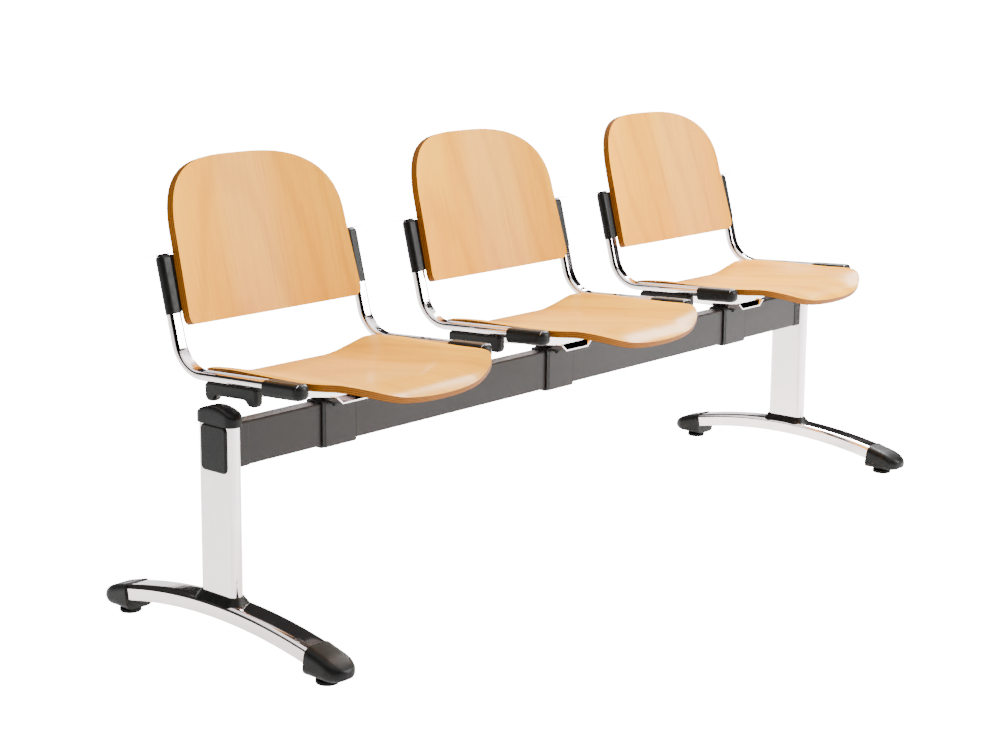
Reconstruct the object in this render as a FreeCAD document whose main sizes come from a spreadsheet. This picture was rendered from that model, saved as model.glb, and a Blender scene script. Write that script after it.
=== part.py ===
import FreeCAD, Part

import math
import os

import Sketcher

# Beam seating, three places: two arched feet with flat columns, one square beam, three clamps, and on
# each clamp a bent-tube chair with a moulded plywood seat and back.
# Frame: X along the beam, -Y towards the front, Z up, origin on the floor midway between the feet.

V = FreeCAD.Vector

doc = FreeCAD.newDocument("BeamSeating")
sheet = doc.addObject("Spreadsheet::Sheet", "Dims")

# Driving dimensions in millimetres, angles in degrees
DIMENSIONS = {
    # Layout
    "leg_spacing": 1634,
    "chair_pitch": 570,
    "chair_shift": -17,
    # Beam and its end collars
    "beam_height": 70,
    "beam_depth": 30,
    "beam_wall": 3,
    "beam_top": 360,
    "beam_corner": 3,
    "collar_length": 20,
    "collar_lip": 1,
    # Column
    "column_width": 26,
    "column_depth": 80,
    "column_corner": 12,
    "column_wall": 2,
    "column_top": 362,
    # Column cap
    "cap_width": 32,
    "cap_depth": 86,
    "cap_low": 356,
    "cap_side": 372,
    "cap_crown": 385.5,
    "cap_corner": 14,
    # Bolt cover
    "cover_depth": 58,
    "cover_height": 73,
    "cover_centre": 319.5,
    "cover_shift": 2,
    "cover_proud": 4,
    "cover_corner": 8,
    # Collar where the column meets the foot
    "skirt_top": 86,
    "skirt_width": 49,
    "skirt_depth": 97,
    "skirt_corner": 19,
    "skirt_wall": 3,
    # Foot bar
    "foot_width": 50,
    "foot_side": 19.5,
    "foot_crown": 6,
    "foot_crease": 70.5,
    "foot_radius": 990,
    "foot_reach": 230,
    "foot_wall": 2.5,
    # Foot end cap
    "toe_mouth": 205,
    "toe_end": 277,
    "toe_width": 57,
    "toe_low": 11,
    "toe_nose": 36,
    "toe_plan_radius": 22,
    "toe_soft": 8,
    # Levelling glide
    "glide_place": 231,
    "glide_radius": 18,
    "glide_thick": 10.5,
    "stem_radius": 5,
    "stem_length": 13,
    # Clamp round the beam
    "clamp_width": 72,
    "clamp_wall": 4,
    "clamp_gap": 0.1,
    # Bent side tube
    "tube_width": 25,
    "tube_thick": 14.5,
    "tube_corner": 6.5,
    "tube_place": 209,
    "rail_height": 422.8,
    "rail_tilt": 2.7,
    "rail_front": 162,
    "bend_radius": 62,
    "tube_end": 114,
    # Back panel and its frame
    "back_lean": 14.4,
    "back_y": 106,
    "back_z": 491.5,
    "back_radius": 480,
    "back_thick": 11.5,
    "back_half": 194,
    "back_sag": 39.5,
    "back_shoulder": 135,
    "back_high": 271,
    "shoulder_half": 188.5,
    "back_corner": 28,
    # Back sleeve
    "sleeve_width": 27,
    "sleeve_thick": 18,
    "sleeve_corner": 7.5,
    "sleeve_soft": 7,
    "sleeve_low": 22,
    "sleeve_high": 118,
    "tube_set": 17.5,
    "fit_gap": 0.05,
    "ear_reach": 24,
    "ear_thick": 4,
    "ear_low": 34,
    "ear_high": 104,
    # Rail cap
    "boot_width": 30,
    "boot_nose": 13,
    "boot_soft": 6.5,
    "boot_above": 8.2,
    "boot_below": 17,
    "boot_front": 168,
    "boot_rear": 89,
    # Saddle under the rail
    "saddle_width": 16,
    "saddle_front": 68,
    "saddle_rear": 51,
    "saddle_waist": 28.5,
    "saddle_foot": 38.5,
    "saddle_soft": 3.5,
    "tongue_thick": 3,
    # Seat shell
    "seat_half": 188,
    "seat_rear": 75,
    "seat_front": 262,
    "seat_thick": 11,
    "seat_rear_corner": 12,
    "seat_front_deep": 120,
    "seat_front_form": 2.25,
    # Carrier under the seat
    "plate_thick": 2.5,
    "plate_front": 62,
    "plate_back": 44,
    "plate_low": 376,
    "plate_flat": 45,
    "plate_shoulder": 174,
    "plate_rise": 398,
    "tab_top": 424,
    "tray_bottom": 62,
    "tray_top": 90,
    "tray_front": 70,
    "tray_rear": 50,
}


class Size:
    """A length that knows both its number and the sheet formula that gives it."""

    def __init__(self, value, formula):
        self.value = float(value)
        self.formula = formula

    @staticmethod
    def of(item):
        if isinstance(item, Size):
            return item
        return Size(item, repr(float(item)))

    def __add__(self, other):
        other = Size.of(other)
        return Size(self.value + other.value, f"({self.formula} + {other.formula})")

    def __sub__(self, other):
        other = Size.of(other)
        return Size(self.value - other.value, f"({self.formula} - {other.formula})")

    def __mul__(self, other):
        other = Size.of(other)
        return Size(self.value * other.value, f"({self.formula} * {other.formula})")

    def __truediv__(self, other):
        other = Size.of(other)
        return Size(self.value / other.value, f"({self.formula} / {other.formula})")

    def __neg__(self):
        return Size(-self.value, f"(0 - {self.formula})")

    def __radd__(self, other):
        return Size.of(other) + self

    def __rsub__(self, other):
        return Size.of(other) - self

    def __rmul__(self, other):
        return Size.of(other) * self


def sine(angle):
    """The sine of an angle in degrees."""
    return Size(math.sin(math.radians(angle.value)), f"sin({angle.formula})")


def cosine(angle):
    """The cosine of an angle in degrees."""
    return Size(math.cos(math.radians(angle.value)), f"cos({angle.formula})")


def root(size):
    """The square root of a size."""
    return Size(math.sqrt(size.value), f"sqrt({size.formula})")


class Dims:
    """Reads the sheet's cells by name."""

    def __getattr__(self, name):
        return Size(sheet.get(name), f"Dims.{name}")


def fill_sheet():
    """Write each dimension as plain text beside its name and give the cell that name."""
    for row, (name, value) in enumerate(DIMENSIONS.items(), start=1):
        sheet.set(f"A{row}", name)
        sheet.set(f"B{row}", str(value))
        sheet.setAlias(f"B{row}", name)
    doc.recompute()


fill_sheet()
D = Dims()
PARTS = []


def bind(item, prop, size):
    """Tie a property to the sheet."""
    item.setExpression(prop, Size.of(size).formula)


def place(item, x, y, z, lean=None, turned=False):
    """Put a sub-part at a point, leaned back about X or turned half round about Z."""
    rotation = FreeCAD.Rotation()
    if lean is not None:
        rotation = FreeCAD.Rotation(V(-1, 0, 0), lean.value)
    if turned:
        rotation = FreeCAD.Rotation(V(0, 0, 1), 180)
    sizes = [Size.of(x), Size.of(y), Size.of(z)]
    item.Placement = FreeCAD.Placement(V(*[size.value for size in sizes]), rotation)
    for axis, size in zip("xyz", sizes):
        bind(item, f".Placement.Base.{axis}", size)
    if lean is not None:
        bind(item, ".Placement.Rotation.Angle", lean)


def new_body(label):
    """A body with its own label."""
    body = doc.addObject("PartDesign::Body", label)
    body.Label = label
    return body


def new_sketch(body, role, offset=0):
    """A sketch on one of the body's own planes, moved along that plane's normal."""
    plane = [item for item in body.Origin.OriginFeatures if item.Role == role][0]
    sketch = body.newObject("Sketcher::SketchObject", "Sketch")
    sketch.AttachmentSupport = (plane, [""])
    sketch.MapMode = "FlatFace"
    offset = Size.of(offset)
    sketch.AttachmentOffset = FreeCAD.Placement(V(0, 0, offset.value), FreeCAD.Rotation())
    bind(sketch, "AttachmentOffset.Base.z", offset)
    return sketch


def fix_point(sketch, item, position, x, y):
    """Hold a sketch point at sizes taken from the sheet."""
    for kind, size in (("DistanceX", Size.of(x)), ("DistanceY", Size.of(y))):
        index = sketch.addConstraint(Sketcher.Constraint(kind, -1, 1, item, position, size.value))
        sketch.setExpression(f"Constraints[{index}]", size.formula)


def fix_radius(sketch, item, radius):
    """Hold an arc or circle to a radius from the sheet."""
    radius = Size.of(radius)
    index = sketch.addConstraint(Sketcher.Constraint("Radius", item, radius.value))
    sketch.setExpression(f"Constraints[{index}]", radius.formula)


def end_at(sketch, item, point):
    """Which end of an arc lies at a point: 1 for its start, 2 for its end."""
    near_start = (sketch.getPoint(item, 1) - point).Length
    near_end = (sketch.getPoint(item, 2) - point).Length
    return 1 if near_start < near_end else 2


def outline(sketch, corners):
    """A closed outline through corners (x, y, radius); a corner of radius 0 stays sharp."""
    count = len(corners)
    sizes = [(Size.of(x), Size.of(y), Size.of(r)) for x, y, r in corners]
    points = [V(x.value, y.value, 0) for x, y, r in sizes]
    leave, arrive, arcs = [], [], []
    for index in range(count):
        before = (points[index - 1] - points[index]).normalize()
        after = (points[(index + 1) % count] - points[index]).normalize()
        radius = sizes[index][2].value
        if radius == 0:
            arrive.append(points[index])
            leave.append(points[index])
            arcs.append(None)
            continue
        half = math.acos(max(-1.0, min(1.0, before.dot(after)))) / 2
        reach = radius / math.tan(half)
        middle = (before + after).normalize()
        centre = points[index] + middle * (radius / math.sin(half))
        arrive.append(points[index] + before * reach)
        leave.append(points[index] + after * reach)
        arcs.append((arrive[-1], centre - middle * radius, leave[-1]))
    lines = []
    for index in range(count):
        segment = Part.LineSegment(leave[index], arrive[(index + 1) % count])
        lines.append(sketch.addGeometry(segment, False))
    for index in range(count):
        x, y, radius = sizes[index]
        into, out = lines[index - 1], lines[index]
        if arcs[index] is None:
            sketch.addConstraint(Sketcher.Constraint("Coincident", into, 2, out, 1))
            fix_point(sketch, out, 1, x, y)
            continue
        bend = sketch.addGeometry(Part.Arc(*arcs[index]), False)
        corner = sketch.addGeometry(Part.Point(points[index]), True)
        fix_point(sketch, corner, 1, x, y)
        sketch.addConstraint(Sketcher.Constraint("PointOnObject", corner, 1, into))
        sketch.addConstraint(Sketcher.Constraint("PointOnObject", corner, 1, out))
        first = end_at(sketch, bend, arcs[index][0])
        sketch.addConstraint(Sketcher.Constraint("Tangent", into, 2, bend, first))
        sketch.addConstraint(Sketcher.Constraint("Tangent", bend, 3 - first, out, 1))
        fix_radius(sketch, bend, radius)
    return sketch


def block(sketch, width, depth, corner, middle=(0, 0)):
    """A rectangle round a middle point, with rounded corners."""
    x, y = Size.of(middle[0]), Size.of(middle[1])
    half_x, half_y = Size.of(width) / 2, Size.of(depth) / 2
    return outline(sketch, [
        (x - half_x, y - half_y, corner), (x + half_x, y - half_y, corner),
        (x + half_x, y + half_y, corner), (x - half_x, y + half_y, corner)])


def circle(sketch, radius, x=0, y=0):
    """A circle at a point."""
    radius = Size.of(radius)
    centre = V(Size.of(x).value, Size.of(y).value, 0)
    item = sketch.addGeometry(Part.Circle(centre, V(0, 0, 1), radius.value), False)
    fix_radius(sketch, item, radius)
    fix_point(sketch, item, 3, x, y)
    return sketch


def arched(sketch, half, spring, crown, other):
    """A closed outline: an arc from one springing point to the other, and three straight sides."""
    half, spring, crown, other = [Size.of(item) for item in (half, spring, crown, other)]
    rise = crown - spring
    start, finish = V(half.value, spring.value, 0), V(-half.value, spring.value, 0)
    arc = sketch.addGeometry(Part.Arc(start, V(0, crown.value, 0), finish), False)
    near = end_at(sketch, arc, start)
    corners = [(-half, spring), (-half, other), (half, other), (half, spring)]
    values = [V(x.value, y.value, 0) for x, y in corners]
    sides = [sketch.addGeometry(Part.LineSegment(values[i], values[i + 1]), False) for i in range(3)]
    for i in range(2):
        sketch.addConstraint(Sketcher.Constraint("Coincident", sides[i], 2, sides[i + 1], 1))
    sketch.addConstraint(Sketcher.Constraint("Coincident", arc, 3 - near, sides[0], 1))
    sketch.addConstraint(Sketcher.Constraint("Coincident", arc, near, sides[2], 2))
    for i in range(3):
        fix_point(sketch, sides[i], 1, *corners[i])
    fix_point(sketch, sides[2], 2, *corners[3])
    fix_radius(sketch, arc, (half * half + rise * rise) / (rise * 2))
    return sketch


def pad(body, sketch, length, both=False, back=False):
    """Extrude a sketch, one way or both ways."""
    feature = body.newObject("PartDesign::Pad", "Pad")
    feature.Profile = sketch
    feature.Midplane = both
    feature.Reversed = back
    bind(feature, "Length", length)
    doc.recompute()
    return feature


def pocket(body, sketch, length=None, back=False, both=False):
    """Cut a sketch through the body, or to a depth, and check that it took something away."""
    before = body.Shape.Volume
    feature = body.newObject("PartDesign::Pocket", "Pocket")
    feature.Profile = sketch
    feature.Reversed = back
    if length is None:
        feature.Type = "ThroughAll"
        feature.Midplane = True
    else:
        feature.Midplane = both
        bind(feature, "Length", length)
    doc.recompute()
    if body.Shape.Volume > before - 0.5:
        raise RuntimeError(f"{body.Label}: a pocket cut nothing")
    return feature


def soften(body, radius, choose):
    """Round the edges that a test on the edge picks out."""
    base = body.Tip
    names = [f"Edge{i}" for i, edge in enumerate(base.Shape.Edges, start=1) if choose(edge)]
    if not names:
        raise RuntimeError(f"{body.Label}: no edge to round")
    feature = body.newObject("PartDesign::Fillet", "Fillet")
    feature.Base = (base, names)
    bind(feature, "Radius", radius)
    doc.recompute()
    return feature


def keep(item):
    """List a finished sub-part for export."""
    PARTS.append(item)
    return item


def level(edge, height, slack=0.01):
    """Whether an edge lies wholly at one height."""
    box = edge.BoundBox
    return abs(box.ZMin - height) < slack and abs(box.ZMax - height) < slack


# Legs

def column(side, x):
    body = new_body(f"leg_{side}_column")
    foot_top = D.foot_crease + D.foot_crown
    tall = D.column_top - foot_top
    pad(body, block(new_sketch(body, "XY_Plane", foot_top), D.column_width, D.column_depth,
                    D.column_corner), tall)
    wall = D.column_wall * 2
    pocket(body, block(new_sketch(body, "XY_Plane", foot_top), D.column_width - wall,
                       D.column_depth - wall, D.column_corner - D.column_wall))
    place(body, x, 0, 0)
    return keep(body)


def column_cap(side, x, way):
    body = new_body(f"leg_{side}_column_cap")
    pad(body, block(new_sketch(body, "XY_Plane", D.cap_low), D.cap_width, D.cap_depth,
                    D.cap_corner), D.cap_crown - D.cap_low)
    # The dome: everything above one arc along Y is taken away
    pocket(body, arched(new_sketch(body, "YZ_Plane"), D.cap_depth / 2, D.cap_side, D.cap_crown,
                        D.cap_crown + 10))
    top = D.cap_side.value - 0.5
    soften(body, D.cap_corner * 0.25, lambda edge: edge.BoundBox.ZMin > top)
    # The recess that takes the column's head
    pocket(body, block(new_sketch(body, "XY_Plane", D.cap_low), D.column_width + D.fit_gap * 2,
                       D.column_depth + D.fit_gap * 2, D.column_corner + D.fit_gap),
           D.column_top - D.cap_low, back=True)
    # The notch that lets the beam's end collar reach the column
    gap = D.clamp_gap * 2
    lip = D.collar_lip * 2
    collar_top = D.beam_top + D.collar_lip + D.clamp_gap
    notch = collar_top - D.cap_low + 2
    face = D.column_width / 2 * -way
    pocket(body, block(new_sketch(body, "YZ_Plane", face), D.beam_depth + lip + gap, notch, 0,
                       (-D.beam_depth / 2, collar_top - notch / 2)), D.cap_width / 2,
           back=(way < 0))
    place(body, x, 0, 0)
    return keep(body)


def bolt_cover(side, x, turned):
    body = new_body(f"leg_{side}_bolt_cover")
    face = D.column_width / 2
    shift = D.cover_shift if turned else -D.cover_shift
    pad(body, block(new_sketch(body, "YZ_Plane", -face - D.cover_proud), D.cover_depth,
                    D.cover_height, D.cover_corner, (shift, D.cover_centre)), D.cover_proud)
    outer = -(face + D.cover_proud).value
    soften(body, D.cover_proud * 0.4, lambda edge: abs(edge.BoundBox.XMax - outer) < 0.01)
    place(body, x, 0, 0, turned=turned)
    return keep(body)


def foot_section(body, trim):
    """The foot's crowned section on the plane across its middle, with the axis it turns about."""
    sketch = new_sketch(body, "XZ_Plane")
    crease = D.foot_crease - trim
    arched(sketch, D.foot_width / 2 - trim, crease, crease + D.foot_crown,
           D.foot_crease - D.foot_side + trim)
    centre = D.foot_crease - D.foot_radius
    axis = sketch.addGeometry(Part.LineSegment(V(-10, centre.value, 0), V(10, centre.value, 0)), True)
    fix_point(sketch, axis, 1, -10, centre)
    fix_point(sketch, axis, 2, 10, centre)
    return sketch


def foot_bar(side, x):
    body = new_body(f"leg_{side}_foot_bar")
    sweep = Size(2 * math.degrees(math.asin(D.foot_reach.value / D.foot_radius.value)),
                 f"2 * asin({D.foot_reach.formula} / {D.foot_radius.formula})")
    for kind, trim in (("PartDesign::Revolution", Size.of(0)), ("PartDesign::Groove", D.foot_wall)):
        before = 0 if kind.endswith("Revolution") else body.Shape.Volume
        sketch = foot_section(body, trim)
        feature = body.newObject(kind, kind.split("::")[1])
        feature.Profile = sketch
        feature.ReferenceAxis = (sketch, ["Axis0"])
        feature.Midplane = True
        bind(feature, "Angle", sweep)
        doc.recompute()
        if abs(body.Shape.Volume - before) < 1:
            raise RuntimeError("the foot bar's revolve changed nothing")
    place(body, x, 0, 0)
    return keep(body)


def column_collar(side, x):
    body = new_body(f"leg_{side}_collar_blank")
    low = D.foot_crease - 2
    lower = block(new_sketch(body, "XY_Plane", low), D.skirt_width, D.skirt_depth, D.skirt_corner)
    rim = D.skirt_wall * 2
    upper = block(new_sketch(body, "XY_Plane", D.skirt_top), D.column_width + rim,
                  D.column_depth + rim, D.column_corner + D.skirt_wall)
    loft = body.newObject("PartDesign::AdditiveLoft", "Loft")
    loft.Profile = lower
    loft.Sections = [upper]
    loft.Ruled = True
    doc.recompute()
    gap = D.fit_gap * 2
    pocket(body, block(new_sketch(body, "XY_Plane", low), D.column_width + gap,
                       D.column_depth + gap, D.column_corner + D.fit_gap))
    place(body, x, 0, 0)
    # The underside follows the crowned foot
    label = f"leg_{side}_column_collar"
    cut = doc.addObject("Part::Cut", label)
    cut.Label = label
    cut.Base = body
    cut.Tool = solid_foot(side, x)
    doc.recompute()
    return keep(cut)


def solid_foot(side, x):
    """The foot bar's outside only, as a cutting tool for what sits on it."""
    body = new_body(f"leg_{side}_foot_outside")
    sketch = foot_section(body, Size.of(0))
    feature = body.newObject("PartDesign::Revolution", "Revolution")
    feature.Profile = sketch
    feature.ReferenceAxis = (sketch, ["Axis0"])
    feature.Midplane = True
    feature.Angle = 16
    place(body, x, 0, 0)
    doc.recompute()
    return body


def toe_cap(side, end, x, bar):
    body = new_body(f"leg_{side}_toe_{end}_blank")
    half = D.toe_width / 2
    back, nose, low = D.toe_mouth, D.toe_end, D.toe_low
    plan = new_sketch(body, "XY_Plane", low)
    outline(plan, [(-half, -back, 0), (-half, -nose, D.toe_plan_radius),
                   (half, -nose, D.toe_plan_radius), (half, -back, 0)])
    pad(body, plan, D.foot_crease - low)
    # Side view: the top runs down with the foot and rounds over the nose
    drop = back * back / (D.foot_radius * 2)
    high = D.foot_crease + 8 - drop
    over = D.foot_crease + 20
    top = new_sketch(body, "YZ_Plane")
    outline(top, [(-back + 5, high + 1, 0), (-nose + 15, D.toe_nose + 7.5, 26),
                  (-nose - 5, D.toe_nose - 8, 0), (-nose - 20, over, 0), (-back + 5, over, 0)])
    pocket(body, top)
    mouth = -back.value
    walls = nose.value - 1
    soften(body, D.toe_soft, lambda edge: edge.BoundBox.ZMin > D.toe_nose.value - 12
           and edge.BoundBox.YMin > -walls - 2 and edge.BoundBox.YMax < mouth + 0.01
           and not (abs(edge.BoundBox.YMax - mouth) < 0.01 and edge.BoundBox.YLength < 0.01))
    # The stem's bore
    bore = circle(new_sketch(body, "XY_Plane", low), D.stem_radius + D.fit_gap, 0, -D.glide_place)
    pocket(body, bore, D.stem_length + 2 - (low - D.glide_thick), back=True)
    place(body, x, 0, 0, turned=(end == "rear"))
    label = f"leg_{side}_toe_cap_{end}"
    cut = doc.addObject("Part::Cut", label)
    cut.Label = label
    cut.Base = body
    cut.Tool = bar
    doc.recompute()
    return keep(cut)


def glide(side, end, x):
    body = new_body(f"leg_{side}_glide_{end}")
    disc = new_sketch(body, "YZ_Plane")
    reach = D.glide_radius
    stem = D.stem_radius
    thick = D.glide_thick
    outline(disc, [(0, 0, 0), (reach - 1.5, 0, 0), (reach, 1.5, 0), (reach, thick - 4, 2),
                   (reach - 6, thick, 2), (stem, thick, 0), (stem, thick + D.stem_length, 0),
                   (0, thick + D.stem_length, 0)])
    feature = body.newObject("PartDesign::Revolution", "Revolution")
    feature.Profile = disc
    feature.ReferenceAxis = (disc, ["V_Axis"])
    feature.Angle = 360
    doc.recompute()
    way = -1 if end == "front" else 1
    place(body, x, D.glide_place * way, 0)
    return keep(body)


# Beam

def beam():
    body = new_body("beam_tube")
    long = D.leg_spacing - D.column_width - D.collar_length * 2
    middle = (-D.beam_depth / 2, D.beam_top - D.beam_height / 2)
    pad(body, block(new_sketch(body, "YZ_Plane"), D.beam_depth, D.beam_height, D.beam_corner,
                    middle), long, both=True)
    wall = D.beam_wall * 2
    pocket(body, block(new_sketch(body, "YZ_Plane"), D.beam_depth - wall, D.beam_height - wall, 0,
                       middle))
    place(body, 0, 0, 0)
    return keep(body)


def beam_collar(side, way):
    body = new_body(f"beam_end_collar_{side}")
    inner = D.leg_spacing / 2 - D.column_width / 2 - D.collar_length
    middle = (-D.beam_depth / 2, D.beam_top - D.beam_height / 2)
    lip = D.collar_lip * 2
    pad(body, block(new_sketch(body, "YZ_Plane"), D.beam_depth + lip, D.beam_height + lip,
                    D.beam_corner, middle), D.collar_length)
    start = inner if way > 0 else -inner - D.collar_length
    place(body, start, 0, 0)
    return keep(body)


# Chair

def back_frame(item, x):
    """The frame of the back panel: origin on its lower front edge, Z up its slope."""
    place(item, x, D.back_y, D.back_z, lean=D.back_lean)


def rail_frame(item, x):
    """The frame of a seat rail: origin on its centre line, Y along it."""
    place(item, x, 0, D.rail_height, lean=D.rail_tilt)


def tube_corner_distance():
    """Along the rail, where its centre line meets the upright's."""
    py = D.back_y + D.tube_set * cosine(D.back_lean)
    pz = D.back_z - D.tube_set * sine(D.back_lean)
    across = py * cosine(D.back_lean) - (pz - D.rail_height) * sine(D.back_lean)
    return across / cosine(D.back_lean - D.rail_tilt)


def tube_upright_length():
    """From that corner up to the upright's end, which is given in the back panel's frame."""
    reach = tube_corner_distance()
    y = reach * cosine(D.rail_tilt)
    z = D.rail_height - reach * sine(D.rail_tilt)
    below = (y - D.back_y) * sine(D.back_lean) + (z - D.back_z) * cosine(D.back_lean)
    return D.tube_end - below


def side_tube(chair, side, x):
    body = new_body(f"{chair}_side_tube_{side}")
    profile = block(new_sketch(body, "XZ_Plane", D.rail_front), D.tube_width, D.tube_thick,
                    D.tube_corner)
    path = new_sketch(body, "YZ_Plane")
    lean = D.back_lean - D.rail_tilt
    reach, rise = tube_corner_distance(), tube_upright_length()
    turn = math.radians(90 - lean.value)
    setback = D.bend_radius.value * math.tan(turn / 2)
    start = V(-D.rail_front.value, 0, 0)
    corner = V(reach.value, 0, 0)
    upward = V(math.sin(math.radians(lean.value)), math.cos(math.radians(lean.value)), 0)
    first = corner - V(setback, 0, 0)
    second = corner + upward * setback
    centre = first + V(0, D.bend_radius.value, 0)
    middle = (first + second) * 0.5 - centre
    middle = centre + middle.normalize() * D.bend_radius.value
    rail = path.addGeometry(Part.LineSegment(start, first), False)
    bend = path.addGeometry(Part.Arc(first, middle, second), False)
    upright = path.addGeometry(Part.LineSegment(second, corner + upward * rise.value), False)
    near = end_at(path, bend, first)
    path.addConstraint(Sketcher.Constraint("Tangent", rail, 2, bend, near))
    path.addConstraint(Sketcher.Constraint("Tangent", bend, 3 - near, upright, 1))
    fix_point(path, rail, 1, -D.rail_front, 0)
    path.addConstraint(Sketcher.Constraint("Horizontal", rail))
    fix_radius(path, bend, D.bend_radius)
    fix_point(path, upright, 2, reach + rise * sine(lean), rise * cosine(lean))
    pipe = body.newObject("PartDesign::AdditivePipe", "Pipe")
    pipe.Profile = profile
    pipe.Spine = (path, [])
    doc.recompute()
    rail_frame(body, x)
    return keep(body)


def back_sleeve(chair, side, x, way):
    body = new_body(f"{chair}_back_sleeve_{side}")
    centre = (D.tube_place * way, D.tube_set)
    pad(body, block(new_sketch(body, "XY_Plane", D.sleeve_low), D.sleeve_width, D.sleeve_thick,
                    D.sleeve_corner, centre), D.sleeve_high - D.sleeve_low)
    high = D.sleeve_high.value
    soften(body, D.sleeve_soft, lambda edge: level(edge, high))
    # The ear behind the panel's edge, tangent to the panel's curve
    far = D.back_half - D.ear_reach
    near = D.tube_place - D.sleeve_width / 2 + 3
    ear = new_sketch(body, "XY_Plane", D.ear_low)
    reach = (D.back_radius + D.back_thick + D.fit_gap).value
    touch = (far.value + D.back_half.value) / 2
    slope = -touch / math.sqrt(reach ** 2 - touch ** 2)
    level_y = D.back_sag.value - D.back_radius.value + math.sqrt(reach ** 2 - touch ** 2)
    rear = level_y + slope * (far.value - touch)
    front = level_y + slope * (near.value - touch)
    outline(ear, [(far * way, rear, 0), (near * way, front, 0),
                  (near * way, D.ear_thick + front, 0), (far * way, D.ear_thick + rear, 0)])
    pad(body, ear, D.ear_high - D.ear_low)
    # The bore for the tube
    gap = D.fit_gap * 2
    pocket(body, block(new_sketch(body, "XY_Plane", D.sleeve_low), D.tube_width + gap,
                       D.tube_thick + gap, D.tube_corner + D.fit_gap, centre),
           D.tube_end - D.sleeve_low, back=True)
    back_frame(body, x)
    return keep(body)


def back_runs():
    """The panel's outline on its front face, run by run: crown, sides, rounded corners, foot."""
    half, corner, shoulder = D.back_half.value, D.back_corner.value, D.back_shoulder.value
    waist = D.shoulder_half.value
    tall = D.back_high.value - shoulder
    crown = []
    for step in range(17):
        angle = math.pi * step / 16
        x_part = abs(math.cos(angle)) ** (2 / 2.9) * math.copysign(1, math.cos(angle))
        crown.append(V(waist * x_part, shoulder + tall * math.sin(angle) ** (2 / 2.5), 0))
    lean = math.atan2(half - waist, shoulder)
    reach = corner * math.tan((math.pi / 2 - lean) / 2)
    centre = V(half - reach, corner, 0)
    bend = []
    for step in range(7):
        angle = lean - (math.pi / 2 + lean) * step / 6
        bend.append(centre + V(math.cos(angle), math.sin(angle), 0) * corner)
    other_bend = [V(-point.x, point.y, 0) for point in reversed(bend)]
    return [crown, [crown[-1], other_bend[-1]], list(reversed(other_bend)),
            [other_bend[0], bend[-1]], list(reversed(bend)), [bend[0], crown[0]]]


def back_sketch(body, y):
    """The outline on one plane across the panel, spread so that the edges stand square to the face."""
    sketch = new_sketch(body, "XZ_Plane", -y)
    radius = D.back_radius.value
    from_axis = y - D.back_sag.value + radius

    def spread(point):
        return V(point.x * from_axis / math.sqrt(radius ** 2 - point.x ** 2), point.y, 0)

    for run in back_runs():
        points = [spread(point) for point in run]
        if len(points) == 2:
            curve = Part.LineSegment(*points)
        else:
            curve = Part.BSplineCurve()
            curve.interpolate(points)
        item = sketch.addGeometry(curve, False)
        sketch.addConstraint(Sketcher.Constraint("Block", item))
    return sketch


def back_face(body, radius, far):
    """Take away what lies beyond one of the panel's curved faces."""
    wide = D.back_half + 40
    centre = D.back_sag - D.back_radius
    spring = centre + root(radius * radius - wide * wide)
    pocket(body, arched(new_sketch(body, "XY_Plane"), wide, spring, centre + radius, far))


def back_panel(chair, x):
    """The moulded back: a block with edges that fan out from the bend's axis, cut to two arcs."""
    body = new_body(f"{chair}_backrest")
    loft = body.newObject("PartDesign::AdditiveLoft", "Loft")
    loft.Profile = back_sketch(body, -18)
    loft.Sections = [back_sketch(body, 65)]
    loft.Ruled = True
    doc.recompute()
    back_face(body, D.back_radius, -60)
    back_face(body, D.back_radius + D.back_thick, 100)
    back_frame(body, x)
    return keep(body)


def rail_cap(chair, side, x):
    body = new_body(f"{chair}_rail_cap_{side}")
    half = D.boot_width / 2
    front, rear = D.boot_front, D.boot_rear
    plan = new_sketch(body, "XY_Plane", -D.boot_below)
    outline(plan, [(-half, -rear, 0), (-half, -front, D.boot_nose), (half, -front, D.boot_nose),
                   (half, -rear, 0)])
    pad(body, plan, D.boot_above + D.boot_below)
    mouth = -rear.value
    low, high = -D.boot_below.value, D.boot_above.value
    soften(body, D.boot_soft, lambda edge: (level(edge, low) or level(edge, high))
           and not abs(edge.BoundBox.YMin - mouth) < 0.01)
    gap = D.fit_gap * 2
    pocket(body, block(new_sketch(body, "XZ_Plane", rear), D.tube_width + gap,
                       D.tube_thick + gap, D.tube_corner + D.fit_gap),
           D.rail_front - rear, back=True)
    rail_frame(body, x)
    return keep(body)


def saddle(chair, side, x):
    """A soft shoe under the rail: two feet with a waist between, and a tongue on to the rail cap."""
    body = new_body(f"{chair}_saddle_{side}")
    under_rail = -D.tube_thick / 2 - D.fit_gap
    foot_long = 22
    front, rear = D.saddle_front, D.saddle_rear
    profile = new_sketch(body, "YZ_Plane")
    outline(profile, [(-front, under_rail, 0),
                      (-front + 1, -D.saddle_foot, 9),
                      (-front + foot_long, -D.saddle_foot + 2, 8),
                      (-front + foot_long + 6, -D.saddle_waist, 9),
                      (rear - foot_long - 4, -D.saddle_waist, 9),
                      (rear - foot_long + 2, -D.saddle_foot, 8),
                      (rear - 1, -D.saddle_foot, 9),
                      (rear, under_rail, 0)])
    pad(body, profile, D.saddle_width, both=True)
    top = under_rail.value
    soften(body, D.saddle_soft, lambda edge: edge.BoundBox.XLength < 0.01 and not level(edge, top))
    tongue = new_sketch(body, "YZ_Plane")
    outline(tongue, [(-D.boot_rear + D.fit_gap, under_rail, 0),
                     (-D.boot_rear + D.fit_gap, under_rail - D.tongue_thick, 0),
                     (-front + 6, under_rail - D.tongue_thick, 0), (-front + 6, under_rail, 0)])
    pad(body, tongue, D.saddle_width - D.saddle_soft * 2, both=True)
    rail_frame(body, x)
    return keep(body)


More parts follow.
